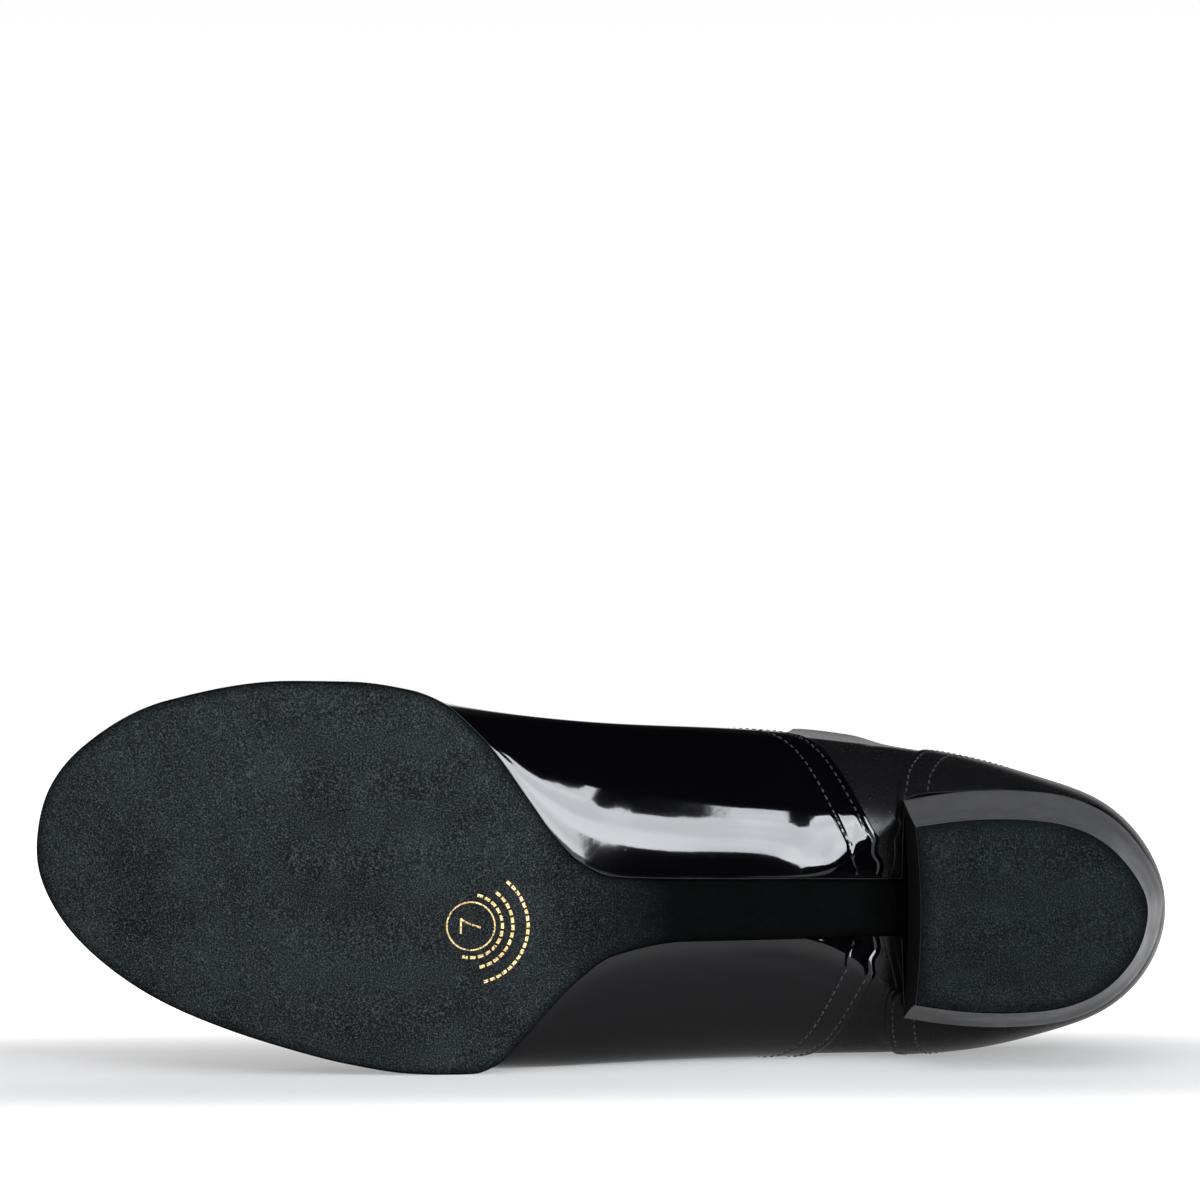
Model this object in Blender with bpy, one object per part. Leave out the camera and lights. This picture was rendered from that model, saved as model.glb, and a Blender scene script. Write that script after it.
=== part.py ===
"""Ballroom dance shoe for a right foot, in black patent leather with a suede sole.

The shoe is modelled upright in its own frame: toe at x = 0, heel towards +X, inner (big toe)
side at -Y, outer side at +Y, tread plane at z = 0. An empty then lays it on its outer side.
All lengths are in metres.
"""
import math
from collections import namedtuple

import bmesh
import bpy
import numpy as np
from mathutils import Matrix, Vector

# Driving dimensions
LENGTH = 0.290
BALL_WIDTH = 0.0988
HEEL_HEIGHT = 0.0245
INSTEP_HEIGHT = 0.0806
TOE_SPRING = 0.0088
WALL = 0.0022
OVERLAY = 0.0007
FEATHER_LAP = 0.0060
LAP_SHARE = 0.25
LAP_COVER = 0.0035
LAP_DRIFT = 0.32
LAP_SIDEWAYS = 0.5
SKIVE = 0.0005
SOLE_THICKNESS = 0.0036
SOLE_BEVEL = 0.0006
INSOLE_THICKNESS = 0.0018
INSOLE_MARGIN = 0.0010
INSOLE_EDGE_RISE = 0.62
INSOLE_FLAT_SHARE = 0.92
NARROW_WIDTH = 0.06
HEEL_TIP_THICKNESS = 0.0030
HEEL_TIP_TAPER = 0.0060
HEEL_BREAST_RAKE = 0.25
HEEL_BACK_RAKE = 1.2
HEEL_BREAST_HOLLOW = 0.0013
HEEL_CORE_WALL = 0.0050
HEEL_CORE_FLOOR = 0.0050
TONGUE_THICKNESS = 0.0020
TONGUE_RISE = 0.0100
LACE_DIAMETER = 0.0026
CLEARANCE = 0.0003

# Where each outline starts and ends, as shares of LENGTH from the toe
Span = namedtuple("Span", "start end")
SOLE_SPAN = Span(0.0, 0.988)
WIDEST_SPAN = Span(0.0035, 1.0)
FEATHER_SPAN = Span(0.0075, 0.982)
TOP_SPAN = Span(0.065, 0.975)
HEEL_SPAN = Span(0.757, 0.988)

# Outlines from below. Station is a share of the outline's own span, inner and outer are
# shares of BALL_WIDTH to each side of the shoe's line.
Outline = namedtuple("Outline", "station inner outer")
SOLE_ROWS = [
    Outline(0.000, -0.130, -0.130),
    Outline(0.010, -0.275, -0.012),
    Outline(0.043, -0.395, 0.116),
    Outline(0.118, -0.511, 0.263),
    Outline(0.226, -0.560, 0.374),
    Outline(0.278, -0.558, 0.412),
    Outline(0.330, -0.537, 0.435),
    Outline(0.358, -0.506, 0.438),
    Outline(0.386, -0.438, 0.436),
    Outline(0.404, -0.381, 0.418),
    Outline(0.435, -0.254, 0.331),
    Outline(0.455, -0.172, 0.266),
    Outline(0.479, -0.099, 0.198),
    Outline(0.508, -0.061, 0.142),
    Outline(0.573, -0.052, 0.109),
    Outline(0.658, -0.047, 0.109),
    Outline(0.766, -0.042, 0.105),
    Outline(0.769, -0.249, 0.306),
    Outline(0.807, -0.267, 0.332),
    Outline(0.850, -0.272, 0.342),
    Outline(0.894, -0.264, 0.329),
    Outline(0.937, -0.235, 0.295),
    Outline(0.980, -0.116, 0.186),
    Outline(1.000, 0.030, 0.030),
]
FEATHER_ROWS = [
    Outline(0.000, -0.130, -0.130),
    Outline(0.011, -0.251, -0.030),
    Outline(0.044, -0.374, 0.095),
    Outline(0.118, -0.490, 0.241),
    Outline(0.223, -0.538, 0.353),
    Outline(0.330, -0.513, 0.413),
    Outline(0.362, -0.469, 0.414),
    Outline(0.403, -0.349, 0.387),
    Outline(0.434, -0.228, 0.305),
    Outline(0.477, -0.082, 0.177),
    Outline(0.512, -0.039, 0.120),
    Outline(0.580, -0.030, 0.090),
    Outline(0.660, -0.030, 0.092),
    Outline(0.710, -0.069, 0.137),
    Outline(0.760, -0.167, 0.236),
    Outline(0.810, -0.239, 0.307),
    Outline(0.870, -0.252, 0.321),
    Outline(0.930, -0.216, 0.283),
    Outline(0.970, -0.138, 0.206),
    Outline(1.000, 0.039, 0.039),
]
WIDEST_ROWS = [
    Outline(0.000, -0.128, -0.128),
    Outline(0.010, -0.266, -0.020),
    Outline(0.043, -0.386, 0.107),
    Outline(0.117, -0.501, 0.254),
    Outline(0.223, -0.550, 0.366),
    Outline(0.275, -0.545, 0.402),
    Outline(0.360, -0.496, 0.434),
    Outline(0.420, -0.468, 0.440),
    Outline(0.508, -0.443, 0.438),
    Outline(0.616, -0.426, 0.438),
    Outline(0.726, -0.392, 0.441),
    Outline(0.780, -0.371, 0.438),
    Outline(0.835, -0.339, 0.421),
    Outline(0.889, -0.294, 0.383),
    Outline(0.943, -0.233, 0.325),
    Outline(0.986, -0.103, 0.200),
    Outline(1.000, 0.046, 0.046),
]

# Height of the widest line above the feather line, as a share of INSTEP_HEIGHT
Height = namedtuple("Height", "station share")
WIDEST_HEIGHTS = [
    Height(0.00, 0.108),
    Height(0.10, 0.130),
    Height(0.25, 0.148),
    Height(0.40, 0.163),
    Height(0.50, 0.217),
    Height(0.60, 0.259),
    Height(0.70, 0.262),
    Height(0.80, 0.259),
    Height(0.90, 0.268),
    Height(1.00, 0.253),
]

# Ridge of the vamp, then the edges of the facings and the collar. Sides are shares of
# BALL_WIDTH, rises are shares of INSTEP_HEIGHT above the feather line, and arch is the
# angle in degrees that the wall turns through from the widest line to this edge.
Top = namedtuple("Top", "station inner outer inner_rise outer_rise arch")
TOP_ROWS = [
    Top(0.000, -0.118, -0.118, 0.300, 0.300, 69.0),
    Top(0.090, -0.113, -0.113, 0.400, 0.400, 82.0),
    Top(0.200, -0.098, -0.098, 0.535, 0.535, 89.0),
    Top(0.290, -0.079, -0.079, 0.645, 0.645, 90.0),
    Top(0.390, -0.049, -0.049, 0.770, 0.770, 90.0),
    Top(0.480, -0.090, 0.012, 0.872, 0.868, 84.0),
    Top(0.555, -0.120, 0.060, 0.943, 0.935, 78.0),
    Top(0.598, -0.157, 0.108, 0.985, 0.970, 72.0),
    Top(0.628, -0.260, 0.215, 0.935, 0.905, 66.0),
    Top(0.668, -0.418, 0.345, 0.780, 0.745, 60.0),
    Top(0.720, -0.405, 0.395, 0.660, 0.620, 56.0),
    Top(0.786, -0.350, 0.385, 0.612, 0.564, 54.0),
    Top(0.852, -0.300, 0.350, 0.640, 0.604, 54.0),
    Top(0.918, -0.236, 0.295, 0.708, 0.688, 54.0),
    Top(0.973, -0.113, 0.190, 0.760, 0.754, 54.0),
    Top(1.000, 0.045, 0.045, 0.773, 0.773, 54.0),
]
THROAT_STATION = 0.390

# Height of the tread: spring is a share of TOE_SPRING, arch a share of HEEL_HEIGHT
Tread = namedtuple("Tread", "station spring arch")
TREAD_ROWS = [
    Tread(0.000, 1.000, 0.000),
    Tread(0.050, 0.640, 0.000),
    Tread(0.100, 0.370, 0.000),
    Tread(0.150, 0.165, 0.000),
    Tread(0.200, 0.035, 0.000),
    Tread(0.230, 0.000, 0.000),
    Tread(0.350, 0.000, 0.000),
    Tread(0.400, 0.000, 0.025),
    Tread(0.450, 0.000, 0.095),
    Tread(0.500, 0.000, 0.210),
    Tread(0.600, 0.000, 0.510),
    Tread(0.680, 0.000, 0.760),
    Tread(0.740, 0.000, 0.905),
    Tread(0.800, 0.000, 0.970),
    Tread(0.860, 0.000, 0.992),
    Tread(1.000, 0.000, 1.020),
]

# Seams across the upper: level runs from 0 at the lasting edge to 1 at the top edge, inner
# and outer are the stations that the seam passes there on each side.
Seam = namedtuple("Seam", "level inner outer")
VAMP_SEAM = [
    Seam(0.00, 0.812, 0.810),
    Seam(0.03, 0.790, 0.787),
    Seam(0.065, 0.7585, 0.7560),
    Seam(0.13, 0.7415, 0.7385),
    Seam(0.19, 0.7318, 0.7265),
    Seam(0.25, 0.717, 0.7157),
    Seam(0.37, 0.687, 0.687),
    Seam(0.45, 0.662, 0.664),
    Seam(0.60, 0.598, 0.600),
    Seam(0.80, 0.492, 0.492),
    Seam(1.00, THROAT_STATION, THROAT_STATION),
]
COUNTER_SEAM = [
    Seam(0.00, 0.826, 0.822),
    Seam(0.03, 0.804, 0.794),
    Seam(0.08, 0.7715, 0.7705),
    Seam(0.14, 0.7632, 0.7545),
    Seam(0.20, 0.7615, 0.7495),
    Seam(0.26, 0.762, 0.748),
    Seam(0.34, 0.769, 0.750),
    Seam(0.45, 0.785, 0.762),
    Seam(0.60, 0.826, 0.800),
    Seam(0.80, 0.893, 0.884),
    Seam(1.00, 0.955, 0.955),
]

# Levels up the wall: how many faces between the lasting edge, the feather line, the widest
# line and the top edge, and the level at which each of those lines lies
FEATHER_LEVEL = 0.10
WIDEST_LEVEL = 0.45
LAP_FACES = 1
LOWER_FACES = 5
UPPER_FACES = 8
VAMP_LINES = 24
QUARTER_LINES = 18
COUNTER_LINES = 7
STEP_WIDTH = 0.0007

# Sole and insole mesh lines. Shares run across the sole from the inner edge to the outer.
SOLE_LINES = 56
SOLE_SHARES = (0.02, 0.12, 0.35, 0.65, 0.88, 0.98)
SOLE_STEP = Span(0.766, 0.769)
SOLE_STEP_ROOM = 0.004
INSOLE_LINES = 40
INSOLE_SIDE_FACES = 3
INSOLE_END_TURN = 0.16

# Heel outline: station is a share of its length from the breast, inner and outer are shares
# of its width
HEEL_ROWS = [
    Outline(0.00, -0.460, 0.460),
    Outline(0.20, -0.492, 0.492),
    Outline(0.42, -0.500, 0.500),
    Outline(0.66, -0.464, 0.464),
    Outline(0.82, -0.372, 0.372),
    Outline(0.93, -0.235, 0.235),
    Outline(1.00, -0.030, -0.030),
]
HEEL_CENTRE = 0.036
HEEL_SEAT_WIDTH = 0.613
HEEL_SIDE_LINES = 12
HEEL_BREAST_LINES = 6
# Loft of the heel block: height and how much of the taper is used up there, both from the tip
HeelRing = namedtuple("HeelRing", "height taper")
HEEL_RINGS = [
    HeelRing(0.00, 1.00),
    HeelRing(0.35, 0.72),
    HeelRing(0.70, 0.36),
    HeelRing(0.90, 0.10),
    HeelRing(1.00, 0.00),
]

# Lacing
EYELET_ROWS = 5
EYELET_STATIONS = Span(0.425, 0.580)
EYELET_LEVEL = 0.935
LACE_LIFT = 0.0002
LACE_ARCH = 0.0006
LACE_CLIMB = 0.3
LACE_STAGGER = 0.0005
LACE_SIDES = 8
LACE_POINTS = 11

# Tongue
TONGUE_SPAN = Span(0.398, 0.585)
TONGUE_LEVELS = Span(0.78, 1.00)
TONGUE_LINES = 14
TONGUE_SIDE_FACES = 3
TONGUE_END_LINES = 2

INNER = -1
OUTER = 1


def clear_scene():
    """Remove what the file opens with."""
    for item in list(bpy.data.objects):
        bpy.data.objects.remove(item, do_unlink=True)


def natural_spline(knots, values, x):
    """Cubic curve with continuous bend through the values at the knots, read at x."""
    knots = np.asarray(knots, dtype=float)
    values = np.asarray(values, dtype=float)
    count = len(knots)
    gaps = np.diff(knots)
    slopes = np.diff(values) / gaps
    matrix = np.eye(count)
    right = np.zeros(count)
    for row in range(1, count - 1):
        matrix[row, row - 1] = gaps[row - 1]
        matrix[row, row] = 2.0 * (gaps[row - 1] + gaps[row])
        matrix[row, row + 1] = gaps[row]
        right[row] = 6.0 * (slopes[row] - slopes[row - 1])
    bends = np.linalg.solve(matrix, right)
    x = np.asarray(x, dtype=float)
    cell = np.clip(np.searchsorted(knots, x) - 1, 0, count - 2)
    after = (knots[cell + 1] - x) / gaps[cell]
    before = (x - knots[cell]) / gaps[cell]
    bend = (after ** 3 - after) * bends[cell] + (before ** 3 - before) * bends[cell + 1]
    return after * values[cell] + before * values[cell + 1] + bend * gaps[cell] ** 2 / 6.0


def steady_spline(knots, values, x):
    """Cubic curve through the values at the knots that never overshoots between two of them."""
    knots = np.asarray(knots, dtype=float)
    values = np.asarray(values, dtype=float)
    gaps = np.diff(knots)
    slopes = np.diff(values) / gaps
    tangents = np.zeros(len(knots))
    before, after = slopes[:-1], slopes[1:]
    weight_a = 2.0 * gaps[1:] + gaps[:-1]
    weight_b = gaps[1:] + 2.0 * gaps[:-1]
    same = before * after > 0.0
    safe_before = np.where(same, before, 1.0)
    safe_after = np.where(same, after, 1.0)
    mean = (weight_a + weight_b) / (weight_a / safe_before + weight_b / safe_after)
    tangents[1:-1] = np.where(same, mean, 0.0)
    tangents[0], tangents[-1] = slopes[0], slopes[-1]
    x = np.asarray(x, dtype=float)
    cell = np.clip(np.searchsorted(knots, x) - 1, 0, len(knots) - 2)
    t = (x - knots[cell]) / gaps[cell]
    part_a = (1.0 + 2.0 * t) * (1.0 - t) ** 2 * values[cell]
    part_b = t * (1.0 - t) ** 2 * gaps[cell] * tangents[cell]
    part_c = t ** 2 * (3.0 - 2.0 * t) * values[cell + 1]
    part_d = t ** 2 * (t - 1.0) * gaps[cell] * tangents[cell + 1]
    return part_a + part_b + part_c + part_d


def turn_of(station):
    """Turn round the outline, 0 at the toe and pi at the heel, for a share of its length."""
    return np.arccos(1.0 - 2.0 * np.clip(np.asarray(station, dtype=float), 0.0, 1.0))


def station_of(turn):
    """Share of the length at a turn round the outline."""
    return (1.0 - np.cos(turn)) / 2.0


def read_round(stations, inner, outer, side, turn, curve=natural_spline):
    """Read a pair of columns as one closed curve, smooth through toe and heel."""
    half = turn_of(stations)
    knots = np.concatenate([-half[::-1], half[1:]])
    values = np.concatenate([inner[::-1], outer[1:]])
    reach = 4
    full = 2.0 * math.pi
    knots = np.concatenate([knots[-1 - reach:-1] - full, knots, knots[1:1 + reach] + full])
    values = np.concatenate([values[-1 - reach:-1], values, values[1:1 + reach]])
    return curve(knots, values, side * np.asarray(turn))


def outline_side(rows, side, turn, curve=natural_spline):
    """Distance from the shoe's line to one side of an outline, in metres."""
    stations = [row.station for row in rows]
    inner = np.array([row.inner for row in rows])
    outer = np.array([row.outer for row in rows])
    return BALL_WIDTH * read_round(stations, inner, outer, side, turn, curve)


def span_x(span, turn):
    """Place along the shoe at a turn round an outline of the given span."""
    return LENGTH * (span.start + (span.end - span.start) * station_of(turn))


def tread_height(x):
    """Height of the underside of the sole above the tread plane at x."""
    stations = [row.station for row in TREAD_ROWS]
    share = np.clip(np.asarray(x) / LENGTH, 0.0, 1.0)
    spring = steady_spline(stations, [row.spring for row in TREAD_ROWS], share)
    arch = steady_spline(stations, [row.arch for row in TREAD_ROWS], share)
    return TOE_SPRING * spring + HEEL_HEIGHT * arch


def feather_height(x):
    """Height of the upper's underside, which rests on the sole, at x."""
    return tread_height(x) + SOLE_THICKNESS + CLEARANCE


def guide_lines(side, turn, inset):
    """Feather, widest and top points at each turn, moved into the wall by inset."""
    feather_x = span_x(FEATHER_SPAN, turn)
    feather = np.stack([feather_x, outline_side(FEATHER_ROWS, side, turn),
                        feather_height(feather_x)], axis=-1)
    widest_x = span_x(WIDEST_SPAN, turn)
    rise = natural_spline([row.station for row in WIDEST_HEIGHTS],
                          [row.share for row in WIDEST_HEIGHTS], station_of(turn))
    widest = np.stack([widest_x, outline_side(WIDEST_ROWS, side, turn),
                       feather_height(widest_x) + INSTEP_HEIGHT * rise], axis=-1)
    top_x = span_x(TOP_SPAN, turn)
    stations = [row.station for row in TOP_ROWS]
    inner_rise = np.array([row.inner_rise for row in TOP_ROWS])
    outer_rise = np.array([row.outer_rise for row in TOP_ROWS])
    top_rise = read_round(stations, inner_rise, outer_rise, side, turn, steady_spline)
    top_side = outline_side(TOP_ROWS, side, turn, steady_spline)
    top = np.stack([top_x, top_side, feather_height(top_x) + INSTEP_HEIGHT * top_rise], axis=-1)
    arch = steady_spline(stations, [math.radians(row.arch) for row in TOP_ROWS],
                         station_of(turn))
    if inset > 0.0:
        feather[..., 1] -= side * inset
        feather[..., 2] += inset
        feather[..., 0] += inset * np.cos(turn)
        widest[..., 1] -= side * inset * np.sin(turn)
        widest[..., 0] += inset * np.cos(turn)
        top[..., 2] -= inset * np.sin(arch) ** 2
        top[..., 1] -= side * inset * np.cos(arch) * np.sin(turn)
        top[..., 0] += inset * np.cos(arch) * np.cos(turn)
    return feather, widest, top, arch


def wall_points(side, station, level, inset=0.0):
    """Points of the last's surface.

    From the lasting edge the wall runs in to the feather line, turns up to the widest line
    on a quarter ellipse, and goes on to the top edge on a second ellipse that stops at the
    arch angle.
    """
    turn = turn_of(station)
    feather, widest, top, arch = guide_lines(side, turn, inset)
    level = np.asarray(level, dtype=float)
    lap = np.clip(1.0 - level / FEATHER_LEVEL, 0.0, 1.0)
    low = np.clip((level - FEATHER_LEVEL) / (WIDEST_LEVEL - FEATHER_LEVEL), 0.0, 1.0)
    high = np.clip((level - WIDEST_LEVEL) / (1.0 - WIDEST_LEVEL), 0.0, 1.0)
    bend = low * math.pi / 2.0
    out = np.sin(bend)[..., None]
    up = (1.0 - np.cos(bend))
    points = feather + (widest - feather) * out
    points[..., 2] = feather[..., 2] + (widest[..., 2] - feather[..., 2]) * up
    angle = high * arch
    lean = ((1.0 - np.cos(angle)) / (1.0 - np.cos(arch)))[..., None]
    climb = np.sin(angle) / np.sin(arch)
    upper = widest + (top - widest) * lean
    upper[..., 2] = widest[..., 2] + (top[..., 2] - widest[..., 2]) * climb
    points = np.where((high > 0.0)[..., None], upper, points)
    reach = (lap * lap_reach(side, turn))[..., None]
    lapped = points + reach * np.stack([np.cos(turn), -side * np.sin(turn), 0.0 * turn], axis=-1)
    lapped[..., 2] += feather_height(lapped[..., 0]) - feather_height(points[..., 0])
    if inset == 0.0:
        lapped[..., 2] += lap * SKIVE
    return lapped


def lap_reach(side, turn):
    """How far the wall runs in under the foot, so that the sole covers its edge.

    Behind the middle the lap slants towards the toe, so the sole's edge is read further forward.
    """
    plain = np.minimum(FEATHER_LAP, LAP_SHARE * bottom_width(turn))
    drift = LAP_DRIFT * BALL_WIDTH * np.minimum(np.cos(turn), 0.0)
    sole_turn = turn_of(((span_x(FEATHER_SPAN, turn) + drift) / LENGTH - SOLE_SPAN.start)
                        / (SOLE_SPAN.end - SOLE_SPAN.start))
    sole = outline_side(SOLE_ROWS, side, sole_turn, steady_spline)
    feather = outline_side(FEATHER_ROWS, side, turn)
    sideways = np.maximum(np.sin(turn), LAP_SIDEWAYS)
    return np.maximum(plain, (side * (feather - sole) + LAP_COVER) / sideways)


def bottom_width(turn):
    """Width between the two feather lines at a turn, at least a fixed share of the ball."""
    outer = outline_side(FEATHER_ROWS, OUTER, turn)
    inner = outline_side(FEATHER_ROWS, INNER, turn)
    return np.maximum(outer - inner, NARROW_WIDTH * BALL_WIDTH)


def seam_station(rows, side, level):
    """Station that a seam passes at a level of the wall."""
    column = [row.inner if side == INNER else row.outer for row in rows]
    return steady_spline([row.level for row in rows], column, level)


def wall_levels():
    """Levels of the mesh lines up the wall."""
    lap = np.linspace(0.0, FEATHER_LEVEL, LAP_FACES + 1)
    lower = np.linspace(FEATHER_LEVEL, WIDEST_LEVEL, LOWER_FACES + 1)[1:]
    upper = np.linspace(WIDEST_LEVEL, 1.0, UPPER_FACES + 1)[1:]
    return np.concatenate([lap, lower, upper])


def wall_stations(side, level):
    """Stations of the mesh lines at each level, and how far each line lies under the overlays.

    The vamp's lines spread from the toe to the vamp seam, the quarter's from there to the
    counter, and the counter's to the back of the heel.
    """
    step = STEP_WIDTH / LENGTH
    vamp_end = turn_of(seam_station(VAMP_SEAM, side, level))
    quarter_start = turn_of(seam_station(VAMP_SEAM, side, level) + step)
    quarter_end = turn_of(seam_station(COUNTER_SEAM, side, level) - step)
    counter_start = turn_of(seam_station(COUNTER_SEAM, side, level))
    pieces = [
        (0.0 * vamp_end, vamp_end, VAMP_LINES, 0.0),
        (quarter_start, quarter_end, QUARTER_LINES, OVERLAY),
        (counter_start, 0.0 * counter_start + math.pi, COUNTER_LINES, 0.0),
    ]
    turns = []
    sunk = []
    for start, end, lines, depth in pieces:
        for line in range(lines + 1):
            turns.append(start + (end - start) * line / lines)
            sunk.append(depth)
    return station_of(np.array(turns)), np.array(sunk)


def outward_normals(points, side):
    """Directions square to a grid of wall points, pointing out of the shoe."""
    along = np.gradient(points, axis=0)
    upward = np.gradient(points, axis=1)
    normal = np.cross(along, upward) * -side
    size = np.linalg.norm(normal, axis=-1, keepdims=True)
    return normal / np.maximum(size, 1e-12)


def add_grid(mesh, points):
    """Add a grid of vertices to a bmesh and return them by row."""
    return [[mesh.verts.new(Vector(point)) for point in row] for row in points]


def skin(mesh, rows):
    """Join neighbouring rows of vertices with four-sided faces."""
    for row, following in zip(rows[:-1], rows[1:]):
        for index in range(len(row) - 1):
            mesh.faces.new((row[index], row[index + 1], following[index + 1], following[index]))


def finish_mesh(name, mesh, material, smooth_angle=35.0):
    """Weld a bmesh, turn its faces out, and make it a named object with a material."""
    bmesh.ops.remove_doubles(mesh, verts=mesh.verts, dist=2e-6)
    bmesh.ops.dissolve_degenerate(mesh, edges=mesh.edges, dist=2e-6)
    bmesh.ops.triangulate(mesh, faces=mesh.faces)
    bmesh.ops.recalc_face_normals(mesh, faces=mesh.faces)
    if mesh.calc_volume(signed=True) < 0.0:
        bmesh.ops.reverse_faces(mesh, faces=mesh.faces)
    data = bpy.data.meshes.new(name)
    mesh.to_mesh(data)
    mesh.free()
    data.shade_smooth()
    data.set_sharp_from_angle(angle=math.radians(smooth_angle))
    data.materials.append(material)
    item = bpy.data.objects.new(name, data)
    bpy.context.collection.objects.link(item)
    return item


def make_material(name, colour, roughness, metallic=0.0):
    """Plain Principled material."""
    material = bpy.data.materials.new(name)
    material.use_nodes = True
    shader = material.node_tree.nodes["Principled BSDF"]
    shader.inputs["Base Color"].default_value = (*colour, 1.0)
    shader.inputs["Roughness"].default_value = roughness
    shader.inputs["Metallic"].default_value = metallic
    return material


def make_upper():
    """Hollow lasted upper: outer and inner walls, joined along the collar and underneath."""
    level = wall_levels()
    mesh = bmesh.new()
    throat = VAMP_LINES
    walls = {}
    for side in (INNER, OUTER):
        station, sunk = wall_stations(side, level)
        levels = np.broadcast_to(level, station.shape)
        outer = wall_points(side, station, levels)
        normal = outward_normals(outer, side)
        outer = outer - normal * sunk[:, None, None]
        inner = wall_points(side, station, levels, WALL)
        walls[side] = (outer, inner)
    for shell in (0, 1):
        ridge = (walls[INNER][shell][:throat + 1, -1] + walls[OUTER][shell][:throat + 1, -1]) / 2
        for side in (INNER, OUTER):
            walls[side][shell][:throat + 1, -1] = ridge
        for line in (0, -1):
            middle = (walls[INNER][shell][line] + walls[OUTER][shell][line]) / 2
            for side in (INNER, OUTER):
                walls[side][shell][line] = middle
    for side in (INNER, OUTER):
        outer = add_grid(mesh, walls[side][0])
        inner = add_grid(mesh, walls[side][1])
        skin(mesh, outer)
        skin(mesh, inner)
        skin(mesh, [[row[0] for row in outer], [row[0] for row in inner]])
        skin(mesh, [[row[-1] for row in outer[throat:]], [row[-1] for row in inner[throat:]]])
    return finish_mesh("upper", mesh, make_material("patent leather", (0.006, 0.006, 0.007), 0.08))


def sheet_mesh(name, top, bottom, material):
    """Closed sheet between two equal grids of points."""
    mesh = bmesh.new()
    upper = add_grid(mesh, top)
    lower = add_grid(mesh, bottom)
    skin(mesh, upper)
    skin(mesh, lower)
    skin(mesh, [[row[0] for row in upper], [row[0] for row in lower]])
    skin(mesh, [[row[-1] for row in upper], [row[-1] for row in lower]])
    skin(mesh, [upper[0], lower[0]])
    skin(mesh, [upper[-1], lower[-1]])
    return finish_mesh(name, mesh, material)


def sole_stations():
    """Turns of the sole's mesh lines, with a pair at the step from the waist to the seat."""
    plain = station_of(np.linspace(0.0, math.pi, SOLE_LINES))
    kept = [value for value in plain
            if min(abs(value - edge) for edge in SOLE_STEP) > SOLE_STEP_ROOM]
    return turn_of(np.sort(np.array(kept + list(SOLE_STEP))))


def make_outsole():
    """Suede sole: true outline, bevelled edge, toe spring, arch and heel seat."""
    turn = sole_stations()
    x = span_x(SOLE_SPAN, turn)
    inner = outline_side(SOLE_ROWS, INNER, turn, steady_spline)
    outer = outline_side(SOLE_ROWS, OUTER, turn, steady_spline)
    shares = np.array([0.0, 0.0, *SOLE_SHARES, 1.0, 1.0])
    rim = np.where((shares == 0.0) | (shares == 1.0), 0.5, 0.0)
    rim[[1, -2]] = 0.0
    width = (outer - inner)[:, None]
    bevel = np.minimum(SOLE_BEVEL, 0.3 * width)
    pull = np.zeros(len(shares))
    pull[1], pull[-2] = 1.0, -1.0
    across = inner[:, None] + shares[None, :] * width + pull * bevel
    along = np.broadcast_to(x[:, None], across.shape)
    low = tread_height(along) + rim * SOLE_THICKNESS
    high = tread_height(along) + SOLE_THICKNESS - rim * SOLE_THICKNESS
    bottom = np.stack([along, across, low], axis=-1)
    top = np.stack([along, across, high], axis=-1)
    return sheet_mesh("outsole", top, bottom, make_material("suede", (0.035, 0.038, 0.042), 0.95))


def make_insole():
    """Leather sock that follows the inside of the bottom and rises a little at its sides."""
    turn = np.linspace(INSOLE_END_TURN, math.pi - INSOLE_END_TURN, INSOLE_LINES)
    rise = np.linspace(INSOLE_EDGE_RISE, 0.0, INSOLE_SIDE_FACES + 1)
    columns = []
    for side, shares in ((INNER, rise), (OUTER, rise[::-1])):
        for share in shares:
            full = np.clip(bottom_width(turn) / (0.5 * BALL_WIDTH), 0.0, 1.0)
            reach = share * (1.0 - INSOLE_FLAT_SHARE * full)
            level = FEATHER_LEVEL + (WIDEST_LEVEL - FEATHER_LEVEL) * reach
            columns.append(wall_points(side, station_of(turn), level, WALL + INSOLE_MARGIN))
    bottom = np.stack(columns, axis=1)
    bottom[..., 2] += CLEARANCE - INSOLE_MARGIN
    top = bottom.copy()
    top[..., 2] += INSOLE_THICKNESS
    return sheet_mesh("insole", top, bottom, make_material("lining leather", (0.30, 0.26, 0.21), 0.6))


def heel_outline(taper, inset=0.0):
    """Closed outline of the heel, drawn in by taper at the back and sides and by inset all round."""
    start = LENGTH * HEEL_SPAN.start + CLEARANCE + HEEL_BREAST_RAKE * taper + inset
    end = LENGTH * HEEL_SPAN.end - HEEL_BACK_RAKE * taper - inset
    width = BALL_WIDTH * HEEL_SEAT_WIDTH - 2.0 * (taper + inset)
    quarter = np.linspace(0.0, math.pi / 2.0, HEEL_SIDE_LINES + 1)
    knots = np.arcsin([row.station for row in HEEL_ROWS])
    x = start + (end - start) * np.sin(quarter)
    centre = BALL_WIDTH * HEEL_CENTRE
    inner = centre + width * natural_spline(knots, [row.inner for row in HEEL_ROWS], quarter)
    outer = centre + width * natural_spline(knots, [row.outer for row in HEEL_ROWS], quarter)
    share = np.linspace(0.0, 1.0, HEEL_BREAST_LINES + 1)[1:-1]
    breast_y = outer[0] + (inner[0] - outer[0]) * share
    breast_x = start + HEEL_BREAST_HOLLOW * 4.0 * share * (1.0 - share)
    xs = np.concatenate([x, x[::-1][1:], breast_x])
    ys = np.concatenate([inner, outer[::-1][1:], breast_y])
    return np.stack([xs, ys], axis=-1)


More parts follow.
